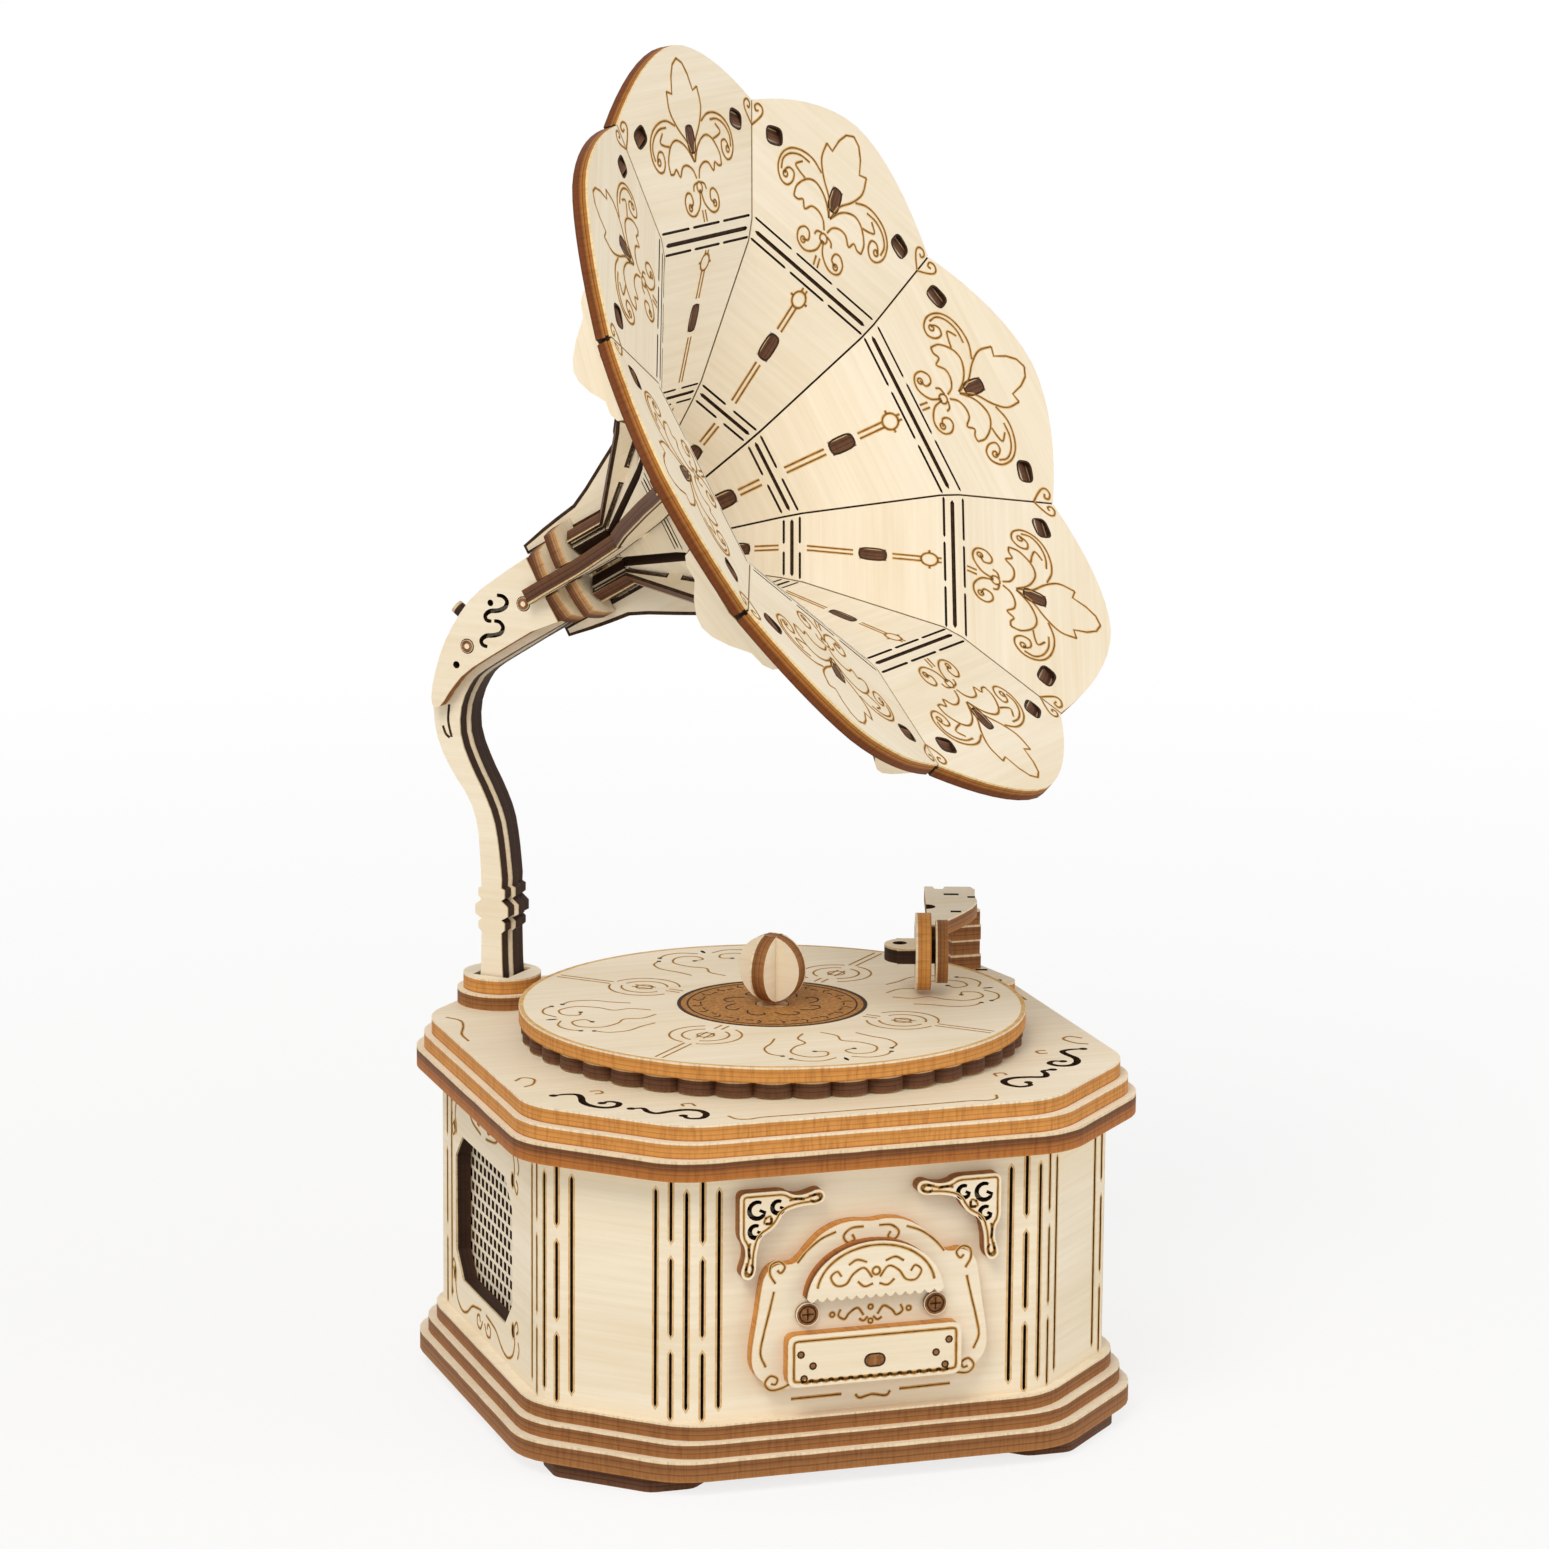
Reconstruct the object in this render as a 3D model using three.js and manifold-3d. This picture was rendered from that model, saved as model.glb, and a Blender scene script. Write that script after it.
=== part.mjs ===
// A horn gramophone model kit of laser-cut plywood: an octagonal box, a turntable,
// a tonearm, a laminated S-shaped neck and an eight-petal horn.
// Millimetres, +Z up, front towards -Y. The box is built round the turntable's axis from the base's
// underside, and the whole is then set with its origin at the bottom middle of its bounds.
import * as THREE from 'three';
import { mergeVertices } from 'three/addons/utils/BufferGeometryUtils.js';
import Module from 'manifold-3d';

const wasm = await Module();
wasm.setup();

// Sheets and clearances
const ply = 2;
const thickPly = 2.65;
const gap = 0.3;
const tabGap = 0.25;
const laminaGap = 0.2;
const runningGap = 0.15;
const overcut = 1;

// Box
const footHeight = 2;
const baseHalf = 41;
const baseStep = 0.9;
const baseSideHalf = 25.3;
const plateRound = 10;
const wallInset = 3.4;
const chamferEase = 1.4;
const wallHeight = 31.7;
const lidOverhang = 3.6;
const lidStep = 0.8;
const footInset = 1;
const footHalf = 10.7;
const footDepth = 11;
const footCut = 4;

// Window and grille in the side walls
const windowFront = 13.4;
const windowRear = 6.4;
const windowRise = 5.05;
const windowDrop = 7.35;
const windowChamfer = 3.3;
const grilleBorder = 2.5;

// Front ornaments
const plaqueHalf = 15.4;
const plaqueHeight = 20.9;
const plaqueRise = 3.9;
const archHalf = 8.9;
const archHeight = 7.2;
const archRise = 11.4;
const drawerHalf = 11.3;
const drawerHeight = 6.6;
const drawerRise = 0.7;
const drawerRound = 1.2;
const pegRadius = 1.5;
const pegSpread = 8.35;
const pegRise = 9.5;
const pegProud = 0.5;
const bracketSize = 11.2;
const bracketInset = 6.3;
const bracketTop = 2.4;

// Turntable
const discClearance = 1.25;
const rimInset = 1.6;
const scallopDepth = 0.8;
const scallopPitch = 4.43;
const axleRadius = 2;
const retainerRadius = 5;
const axleTail = 1.5;
const knobRadius = 4.5;
const knobLift = 0.5;
const knobTurn = -63.3;
const knobFootRadius = 1.6;

// Tonearm
const armPivotInset = 8.2;
const armPivotY = 20;
const postSide = 4.2;
const postLayers = 4;
const armWidth = 6.8;
const armSpan = 20.2;
const armOverhang = 2.8;
const armShift = -1.5;
const armTurn = -18.3;
const pivotPinRadius = 1;
const baseLobeRadius = 3.3;
const baseTailRadius = 2.6;
const baseTailX = 2.2;
const baseTailY = -7.5;
const soundRadius = 5;
const soundGap = 0.5;
const soundLift = 0.5;
const soundBackRadius = 4.1;
const soundBackGap = 0.6;
const soundBackThickness = 1.6;
const soundHubRadius = 1.6;
const soundLobeReach = 4;
const soundLobeWidth = 6;
const tongueWidth = 4;
const tongueShift = 1.7;
const tongueDepth = 2.2;

// Neck
const neckInset = 7.42;
const neckReach = 8.86;
const neckRise = 56.49;
const columnHalf = 1.45;
const coreMargin = 0.45;
const neckEndHalf = 4.9;
const coverEndHalf = 4.6;
const lowerDiscRadius = 5.9;
const upperDiscRadius = 5.1;
const tenonHalf = 1.4;
const coreTenonHalf = 2;

// Horn, as an octagon: ring radii at the seams and depths behind the petal fold
const hornTilt = 30.56;
const petalCount = 8;
const notchRadius = 47.8;
const notchRise = 4.71;
const petalReach = 15.33;
const rimBandWidth = 2.48;
const rimBandDepth = 1.33;
const throatFoldRadius = 15.69;
const throatFoldDepth = 13.61;
const throatBandWidth = 1.94;
const throatBandDepth = 15.78;
const throatTilt = 54;
const petalTipRise = 8.45;
const petalTipPower = 1.75;
const neckStrip = 6.56;
const seamGap = 0.3;
const slotLength = 4;
const petalSlotStart = 9.4;
const bandSlotStart = 7;
const throatSlotStart = 3.8;
const slimRibHeight = 0.9;
const ribTail = 2;
const ribHeight = 8;
const slimRibRise = 5;

// Collar rings and the bridges behind the petal notches
const rearRingCorner = 4.6;
const frontRingCorner = 5.75;
const ringBulge = 0.95;
const ringSpacing = 4;
const ringBore = 2.6;
const bridgeInset = 3.6;
const bridgeHalf = 9.3;
const bridgeDrop = 4.2;
const bridgeTabSpread = 4.35;
const bridgeTabHalf = 1.45;

// Sizes that follow from these
const plateChamfer = baseHalf - baseSideHalf;
const wallHalf = baseHalf - wallInset;
const wallChamfer = plateChamfer - chamferEase;
const wallFlat = wallHalf - wallChamfer;
const lidHalf = wallHalf + lidOverhang;
const windowLength = 2 * wallFlat - windowFront - windowRear;
const windowHeight = wallHeight - windowRise - windowDrop;
const windowSetback = (windowFront - windowRear) / 2;
const bracketSpread = wallFlat - bracketInset;
const armPivotX = lidHalf - armPivotInset;
const neckSetback = (2 * lidHalf - plateChamfer) / Math.SQRT2 - neckInset;
const discRadius = neckSetback - lowerDiscRadius - discClearance;
const rimRadius = discRadius - rimInset;
const petalFoldRadius = notchRadius - petalReach;
const rimBandRadius = petalFoldRadius - rimBandWidth;
const throatBandRadius = throatFoldRadius - throatBandWidth;
const bridgeRadius = notchRadius - bridgeInset;

// Levels
const baseTop = thickPly + 2 * ply;
const wallTop = baseTop + wallHeight;
const deckTop = wallTop + thickPly + 2 * ply;
const discBottom = deckTop + gap + ply;
const discTop = discBottom + ply;

// Outlines as shares. The plaque runs up its right side from the bottom middle.
const plaqueShares = [
  [0.8, 0], [0.9, 0.05], [0.99, 0.12], [1, 0.24], [0.95, 0.45], [0.92, 0.62], [0.89, 0.72],
  [0.78, 0.775], [0.71, 0.755], [0.61, 0.77], [0.5, 0.88], [0.35, 0.965], [0.16, 1], [0, 0.98],
];
// Corner bracket: shares of its size from the upper outer corner, inwards and down.
const bracketShares = [
  [0, 0], [0.52, 0], [0.6, 0.06], [0.74, 0.07], [0.93, 0], [1, 0.1], [0.93, 0.18], [0.68, 0.19],
  [0.5, 0.24], [0.44, 0.36], [0.36, 0.44], [0.24, 0.5], [0.19, 0.68], [0.18, 0.93], [0.1, 1],
  [0, 0.93], [0.07, 0.74], [0.06, 0.6], [0, 0.52],
];
// Neck: shares of the reach from column to collar and of the rise from deck to collar.
const neckRearShares = [
  [-0.17, 0.3], [-0.22, 0.413], [-0.365, 0.483], [-0.65, 0.544], [-0.886, 0.614], [-0.968, 0.693],
  [-0.915, 0.774], [-0.736, 0.849], [-0.473, 0.919], [-0.12, 0.979],
];
const neckFrontShares = [
  [0.497, 0.851], [0.163, 0.818], [-0.174, 0.783], [-0.342, 0.755], [-0.5, 0.7], [-0.514, 0.632],
  [-0.347, 0.564], [-0.129, 0.502], [0.04, 0.441], [0.123, 0.371], [0.17, 0.3],
];
const coverShares = [
  [-0.073, 0.981], [-0.435, 0.913], [-0.694, 0.837], [-0.852, 0.752], [-0.86, 0.705], [-0.73, 0.703],
  [-0.551, 0.743], [-0.281, 0.79], [0.289, 0.849], [0.789, 0.898],
];
// Baluster on the column: shares of the column's half width and of the rise, top to bottom.
const balusterShares = [
  [1, 0.28], [1.34, 0.276], [1.34, 0.257], [1, 0.25], [1.66, 0.236], [1.66, 0.214], [1, 0.204],
  [1.34, 0.197], [1.34, 0.181], [1, 0.173], [1.06, 0.1], [1.3, 0],
];
// Outer edges of the ribs, petal to collar: the gore's panel, then shares of its length and of the rib's height.
const tallRibShares = [
  [5, 0.916, 0.49], [5, 0.477, 0.5], [3, 0.767, 0.99], [2, 0.631, 1], [1, 0.6, 0.74], [1, 0.542, 0.66],
  [1, 0.322, 0.74], [0, 0.563, 0.76], [0, 0.154, 0.62],
];
const slimRibShares = [[5, 0.916, 0.78], [5, 0.36, 0.57], [3, 0.761, 1], [2, 0.618, 1]];
// The tall ribs' tails behind the gores: shares of the tail's length and of the rib's height.
const ribTailShares = [[0.25, 0.575], [0.56, 0.53], [1, 0.45]];
// Tonearm: shares of the arm's span back from its near end and of its width from the left.
const armShares = [
  [0.035, 0.34], [0.15, 0.53], [0.29, 0.735], [0.43, 0.9], [0.574, 1], [0.75, 0.97], [0.92, 0.985],
  [1, 0.9], [1, 0.4], [0.93, 0.36], [0.93, 0.2], [1, 0.16], [1, 0], [0, 0],
];

// Finishes
const woodColours = { face: '#f3e3c3', shade: '#ebd2ac', edge: '#c78a4a', dark: '#8f6740' };

const model = new THREE.Group();

function addPiece(parent, name, geometry, colour = woodColours.face) {
  const material = new THREE.MeshStandardMaterial({ color: colour, roughness: 0.72, metalness: 0 });
  const mesh = new THREE.Mesh(geometry, material);
  mesh.name = name;
  parent.add(mesh);
  return mesh;
}

function toSolid(geometry) {
  const bare = geometry.clone();
  bare.deleteAttribute('normal');
  bare.deleteAttribute('uv');
  const merged = mergeVertices(bare);
  return new wasm.Manifold(new wasm.Mesh({
    numProp: 3,
    vertProperties: new Float32Array(merged.attributes.position.array),
    triVerts: new Uint32Array(merged.index.array),
  }));
}

function toGeometry(solid) {
  const mesh = solid.getMesh();
  const geometry = new THREE.BufferGeometry();
  geometry.setAttribute('position', new THREE.BufferAttribute(new Float32Array(mesh.vertProperties), 3));
  geometry.setIndex(new THREE.BufferAttribute(new Uint32Array(mesh.triVerts), 1));
  return geometry;
}

function join(...geometries) {
  const solids = geometries.map(toSolid);
  return toGeometry(solids.reduce((sum, next) => sum.add(next)));
}

function cutAway(geometry, ...tools) {
  return toGeometry(tools.map(toSolid).reduce((rest, tool) => rest.subtract(tool), toSolid(geometry)));
}

function point(x, y) {
  return new THREE.Vector2(x, y);
}

function extrude(shape, thickness, curveSegments = 4) {
  return new THREE.ExtrudeGeometry(shape, { depth: thickness, bevelEnabled: false, curveSegments });
}

// A plate standing on edge: the outline's y becomes height, and it thickens towards -Y.
function standingPlate(shape, thickness, curveSegments) {
  return extrude(shape, thickness, curveSegments).rotateX(Math.PI / 2);
}

function roundedShape(corners, radius) {
  const shape = new THREE.Shape();
  corners.forEach((corner, i) => {
    const before = corners[(i + corners.length - 1) % corners.length];
    const after = corners[(i + 1) % corners.length];
    const incoming = corner.clone().sub(before).normalize();
    const outgoing = after.clone().sub(corner).normalize();
    const setback = radius * Math.tan(incoming.angleTo(outgoing) / 2);
    const start = corner.clone().addScaledVector(incoming, -setback);
    const end = corner.clone().addScaledVector(outgoing, setback);
    if (i === 0) shape.moveTo(start.x, start.y);
    else shape.lineTo(start.x, start.y);
    shape.quadraticCurveTo(corner.x, corner.y, end.x, end.y);
  });
  shape.closePath();
  return shape;
}

function octagonCorners(half, leg) {
  const flat = half - leg;
  return [
    point(flat, -half), point(half, -flat), point(half, flat), point(flat, half),
    point(-flat, half), point(-half, flat), point(-half, -flat), point(-flat, -half),
  ];
}

function circleHole(x, y, radius) {
  const hole = new THREE.Path();
  hole.absarc(x, y, radius, 0, 2 * Math.PI, true);
  return hole;
}

function boxHole(x, y, halfX, halfY) {
  return new THREE.Path([
    point(x - halfX, y - halfY), point(x - halfX, y + halfY), point(x + halfX, y + halfY), point(x + halfX, y - halfY),
  ]);
}

// The neck's plane runs through the turntable's centre from the rear left corner to the front right.
const neckPlane = new THREE.Group();
neckPlane.rotation.z = -Math.PI / 4;
model.add(neckPlane);

function neckPoint(x, y) {
  return point(x, y).rotateAround(point(0, 0), neckPlane.rotation.z);
}

function addBox() {
  const thicknesses = [thickPly, ply, ply];
  let level = 0;
  ['lower', 'middle', 'upper'].forEach((name, i) => {
    const shape = roundedShape(octagonCorners(baseHalf - i * baseStep, plateChamfer), plateRound);
    addPiece(model, `base_plate_${name}`, extrude(shape, thicknesses[i]), woodColours.edge).position.z = level;
    level += thicknesses[i];
  });

  level = wallTop;
  ['lower', 'middle', 'upper'].forEach((name, i) => {
    const shape = roundedShape(octagonCorners(lidHalf - i * lidStep, plateChamfer), plateRound);
    shape.holes.push(circleHole(0, 0, (axleRadius + runningGap) / Math.cos(Math.PI / 16)));
    if (name === 'upper') {
      shape.holes.push(circleHole(armPivotX, armPivotY, (pivotPinRadius + runningGap) / Math.cos(Math.PI / 16)));
      shape.holes.push(tenonHole());
    }
    addPiece(model, `lid_plate_${name}`, extrude(shape, thicknesses[i], 8)).position.z = level;
    level += thicknesses[i];
  });
}

function tenonHole() {
  const halfX = tenonHalf + tabGap;
  const halfY = ply / 2 + tabGap;
  const corners = [[-halfX, -halfY], [-halfX, halfY], [halfX, halfY], [halfX, -halfY]];
  return new THREE.Path(corners.map(([x, y]) => neckPoint(x - neckSetback, y)));
}

// One foot under each chamfer, its outer corners cut back like the box's.
function addFeet() {
  const outer = (2 * baseHalf - plateChamfer) / Math.SQRT2 - footInset;
  const corners = [
    point(outer - footDepth, -footHalf), point(outer - footCut, -footHalf), point(outer, footCut - footHalf),
    point(outer, footHalf - footCut), point(outer - footCut, footHalf), point(outer - footDepth, footHalf),
  ];
  const shape = roundedShape(corners, ply);
  ['rear_right', 'rear_left', 'front_left', 'front_right'].forEach((name, turns) => {
    const geometry = extrude(shape, footHeight, 2).rotateZ((turns + 0.5) * Math.PI / 2);
    addPiece(model, `foot_${name}`, geometry, woodColours.edge).position.z = -footHeight;
  });
}

function wallWrap(corners, ends) {
  const outline = [...corners, ...ends];
  return extrude(new THREE.Shape(outline), wallHeight);
}

function windowCutter(side) {
  const half = windowLength / 2;
  const shape = new THREE.Shape([
    point(-half, windowChamfer), point(windowChamfer - half, 0), point(half - windowChamfer, 0),
    point(half, windowChamfer), point(half, windowHeight - windowChamfer),
    point(half - windowChamfer, windowHeight), point(windowChamfer - half, windowHeight),
    point(-half, windowHeight - windowChamfer),
  ]);
  const cutter = standingPlate(shape, ply + 2 * overcut).rotateZ(Math.PI / 2);
  const nearFace = side > 0 ? wallHalf - ply : -wallHalf;
  return cutter.translate(nearFace - overcut, windowSetback, windowRise);
}

function addWalls() {
  const innerHalf = wallHalf - ply;
  const innerFlat = wallFlat - ply * Math.tan(Math.PI / 8);
  const seam = wallFlat - gap / 2;
  const front = [
    point(-wallHalf, seam), point(-wallHalf, -wallFlat), point(-wallFlat, -wallHalf), point(wallFlat, -wallHalf),
    point(wallHalf, -wallFlat), point(wallHalf, seam),
  ];
  const frontInner = [
    point(innerHalf, seam), point(innerHalf, -innerFlat), point(innerFlat, -innerHalf),
    point(-innerFlat, -innerHalf), point(-innerHalf, -innerFlat), point(-innerHalf, seam),
  ];
  const wrapped = wallWrap(front, frontInner);
  addPiece(model, 'wall_wrap_front', cutAway(wrapped, windowCutter(-1), windowCutter(1))).position.z = baseTop;

  const rearSeam = wallFlat + gap / 2;
  const outerX = wallHalf - gap / 2;
  const innerX = innerHalf + innerFlat - rearSeam;
  const rear = [
    point(outerX, rearSeam), point(wallFlat, wallHalf), point(-wallFlat, wallHalf), point(-outerX, rearSeam),
  ];
  const rearInner = [
    point(-innerX, rearSeam), point(-innerFlat, innerHalf), point(innerFlat, innerHalf), point(innerX, rearSeam),
  ];
  addPiece(model, 'wall_wrap_rear', wallWrap(rear, rearInner)).position.z = baseTop;
}

function addGrilles() {
  const length = windowLength + 2 * grilleBorder;
  const height = windowHeight + 2 * grilleBorder;
  for (const [name, side] of [['left', -1], ['right', 1]]) {
    const panel = new THREE.BoxGeometry(ply, length, height);
    const grille = addPiece(model, `grille_${name}`, panel, woodColours.shade);
    const middle = baseTop + windowRise + windowHeight / 2;
    grille.position.set(side * (wallHalf - 1.5 * ply - laminaGap), windowSetback, middle);
  }
}

function addFront() {
  const plaque = new THREE.Shape();
  const right = plaqueShares.map(([x, y]) => point(x * plaqueHalf, y * plaqueHeight));
  const left = right.slice(0, -1).reverse().map((p) => point(-p.x, p.y));
  plaque.setFromPoints([...right, ...left]);
  const pegs = [-1, 1].map((side) => {
    const peg = new THREE.CylinderGeometry(pegRadius, pegRadius, ply + pegProud, 12);
    return peg.translate(side * pegSpread, -(ply + pegProud) / 2, pegRise);
  });
  const board = addPiece(model, 'front_plaque', join(standingPlate(plaque, ply), ...pegs));
  board.position.set(0, -wallHalf, baseTop + plaqueRise);

  const arch = new THREE.Shape();
  arch.moveTo(-archHalf, 0);
  arch.lineTo(archHalf, 0);
  arch.absellipse(0, 0, archHalf, archHeight, 0, Math.PI, false);
  const fan = addPiece(model, 'front_arch', standingPlate(arch, ply, 14));
  fan.position.set(0, -wallHalf - ply, baseTop + plaqueRise + archRise);

  const corners = [
    point(-drawerHalf, 0), point(drawerHalf, 0), point(drawerHalf, drawerHeight), point(-drawerHalf, drawerHeight),
  ];
  const drawer = standingPlate(roundedShape(corners, drawerRound), ply, 3);
  addPiece(model, 'front_drawer_panel', drawer).position.set(0, -wallHalf - ply, baseTop + plaqueRise + drawerRise);

  for (const [name, side] of [['left', -1], ['right', 1]]) {
    const points = bracketShares.map(([x, y]) => point(side * (1 - x) * bracketSize, -y * bracketSize));
    const bracket = standingPlate(new THREE.Shape(points), ply);
    const place = side * (bracketSpread - bracketSize);
    addPiece(model, `corner_bracket_${name}`, bracket).position.set(place, -wallHalf, wallTop - bracketTop);
  }
}

function scallopedCircle(radius, depth, pitch) {
  const count = Math.round(2 * Math.PI * radius / pitch);
  const stepsEach = 3;
  const points = [];
  for (let i = 0; i < count * stepsEach; i += 1) {
    const angle = 2 * Math.PI * i / (count * stepsEach);
    const bulge = Math.abs(Math.sin(angle * count / 2));
    const reach = radius - depth * (1 - bulge);
    points.push(point(reach * Math.cos(angle), reach * Math.sin(angle)));
  }
  return new THREE.Shape(points);
}

function addTurntable() {
  const disc = new THREE.Shape().absarc(0, 0, discRadius, 0, 2 * Math.PI, false);
  disc.holes.push(circleHole(0, 0, axleRadius + tabGap));
  addPiece(model, 'turntable_disc', extrude(disc, ply, 36)).position.z = discBottom;

  const rim = scallopedCircle(rimRadius, scallopDepth, scallopPitch);
  rim.holes.push(circleHole(0, 0, axleRadius + tabGap));
  addPiece(model, 'turntable_rim', extrude(rim, ply, 8), woodColours.edge).position.z = discBottom - ply;

  const retainerTop = wallTop - gap;
  const retainerBottom = retainerTop - ply;
  const profile = [
    point(0, retainerBottom - axleTail), point(axleRadius, retainerBottom - axleTail),
    point(axleRadius, retainerBottom), point(retainerRadius, retainerBottom),
    point(retainerRadius, retainerTop), point(axleRadius, retainerTop),
    point(axleRadius, discTop), point(0, discTop),
  ];
  const axle = new THREE.LatheGeometry(profile, 24).rotateX(Math.PI / 2);
  addPiece(model, 'turntable_axle', axle, woodColours.dark);

  addPiece(model, 'turntable_knob', knob()).position.z = discTop;
}

// Two crossed discs on a round foot.
function knob() {
  const centre = knobRadius + knobLift;
  const turn = THREE.MathUtils.degToRad(knobTurn);
  const discs = [turn, turn + Math.PI / 2].map((angle) => {
    const disc = new THREE.CylinderGeometry(knobRadius, knobRadius, ply, 24);
    return disc.rotateZ(angle).translate(0, 0, centre);
  });
  const foot = new THREE.CylinderGeometry(knobFootRadius, knobFootRadius, centre - gap, 16);
  foot.rotateX(Math.PI / 2).translate(0, 0, (centre + gap) / 2);
  return join(...discs, foot);
}

function addTonearm() {
  const tail = Math.atan2(baseTailY, baseTailX);
  const lobe = new THREE.Shape();
  lobe.absarc(0, 0, baseLobeRadius, tail + Math.PI / 2, tail - Math.PI / 2, false);
  lobe.absarc(baseTailX, baseTailY, baseTailRadius, tail - Math.PI / 2, tail + Math.PI / 2, false);
  lobe.closePath();
  lobe.holes.push(circleHole(0, 0, (pivotPinRadius + runningGap) / Math.cos(Math.PI / 16)));
  const base = addPiece(model, 'tonearm_base', extrude(lobe, ply, 8), woodColours.shade);
  base.position.set(armPivotX, armPivotY, deckTop);

  const arm = new THREE.Group();
  arm.position.set(armPivotX, armPivotY, deckTop + ply + gap);
  model.add(arm);

  const postHeight = postLayers * ply;
  const pinLength = 2 * ply + gap;
  const post = new THREE.BoxGeometry(postSide, postSide, postHeight).translate(0, 0, postHeight / 2);
  const pin = new THREE.CylinderGeometry(pivotPinRadius, pivotPinRadius, pinLength, 16);
  pin.rotateX(Math.PI / 2).translate(0, 0, overcut - pinLength / 2);
  addPiece(arm, 'tonearm_post', join(post, pin), woodColours.edge);

  const swung = new THREE.Group();
  swung.rotation.z = THREE.MathUtils.degToRad(armTurn);
  swung.position.z = postHeight + laminaGap;
  arm.add(swung);
  const nearY = armOverhang - armSpan;
  const armLeft = armShift - armWidth / 2;
  const tongueLeft = armLeft - tongueShift;
  const outline = [
    point(tongueLeft, nearY), point(tongueLeft, nearY - tongueDepth),
    point(tongueLeft + tongueWidth, nearY - tongueDepth), point(tongueLeft + tongueWidth, nearY),
    ...armShares.map(([y, x]) => point(armLeft + x * armWidth, nearY + y * armSpan)),
  ];
  addPiece(swung, 'tonearm_arm', extrude(new THREE.Shape(outline), ply));
  addSoundBox(swung, tongueLeft, nearY);
}

// Two upright discs on a short hub, with a shelf on one side; the arm's tongue enters a slot.
function addSoundBox(parent, tongueLeft, nearY) {
  const upright = (radius, thickness, x, sides) => {
    const disc = new THREE.CylinderGeometry(radius, radius, thickness, sides);
    return disc.rotateZ(Math.PI / 2).translate(x, 0, 0);
  };
  const hubLength = ply / 2 + soundBackGap + soundBackThickness / 2;
  const shelf = new THREE.BoxGeometry(soundLobeReach + ply / 2, soundLobeWidth, ply);
  shelf.translate(-(soundLobeReach + ply / 2) / 2, 0, 0);
  const body = join(
    upright(soundRadius, ply, 0, 24),
    upright(soundBackRadius, soundBackThickness, hubLength, 24),
    upright(soundHubRadius, hubLength, hubLength / 2, 12),
    shelf,
  );
  const recordTop = discTop - deckTop - ply - gap;
  const centreZ = recordTop + soundLift + soundRadius - postLayers * ply - laminaGap;
  const slotDepth = tongueDepth + tabGap + overcut;
  const slotWidth = hubLength + ply + soundBackThickness + 2 * overcut;
  const slot = new THREE.BoxGeometry(slotWidth, slotDepth, ply + 2 * tabGap);
  const slotEnd = soundRadius + soundGap - tongueDepth - tabGap;
  slot.translate(hubLength / 2, slotEnd + slotDepth / 2, ply / 2 - centreZ);
  const box = addPiece(parent, 'tonearm_sound_box', cutAway(body, slot), woodColours.edge);
  box.position.set(tongueLeft + ply / 2, nearY - soundGap - soundRadius, centreZ);
}

// The horn's throat, and how far the collar lies behind the petal fold
const halfStep = Math.PI / petalCount;
const flatShare = Math.cos(halfStep);
const stackHalf = 2.5 * ply;
const neckBore = stackHalf - ply;
const throatBand = point(throatBandRadius * flatShare, -throatBandDepth);
const throatSlope = Math.tan(THREE.MathUtils.degToRad(throatTilt));
const neckBendDepth = throatBandDepth + (throatBand.x - neckBore) * throatSlope;
const goreEndDepth = neckBendDepth + neckStrip;
const collarDepth = goreEndDepth + ringSpacing + ply + gap;

// The horn stands on the neck: its fold ring is the collar's depth along the axis from the neck's end.
const tilt = THREE.MathUtils.degToRad(hornTilt);
const axisX = Math.cos(tilt);
const axisZ = Math.sin(tilt);
const hornForward = neckReach - neckSetback + collarDepth * axisX;
const hornHeight = deckTop + neckRise + collarDepth * axisZ;

// A point in the neck's plane from the horn's own frame: depth along the axis and height above it.
function hornPoint(depth, height) {
  return point(hornForward + depth * axisX - height * axisZ, hornHeight + depth * axisZ + height * axisX);
}

function neckEdge(shares, margin) {
  return shares.map(([x, y]) => point(x * neckReach - neckSetback + margin, deckTop + y * neckRise));
}

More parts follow.
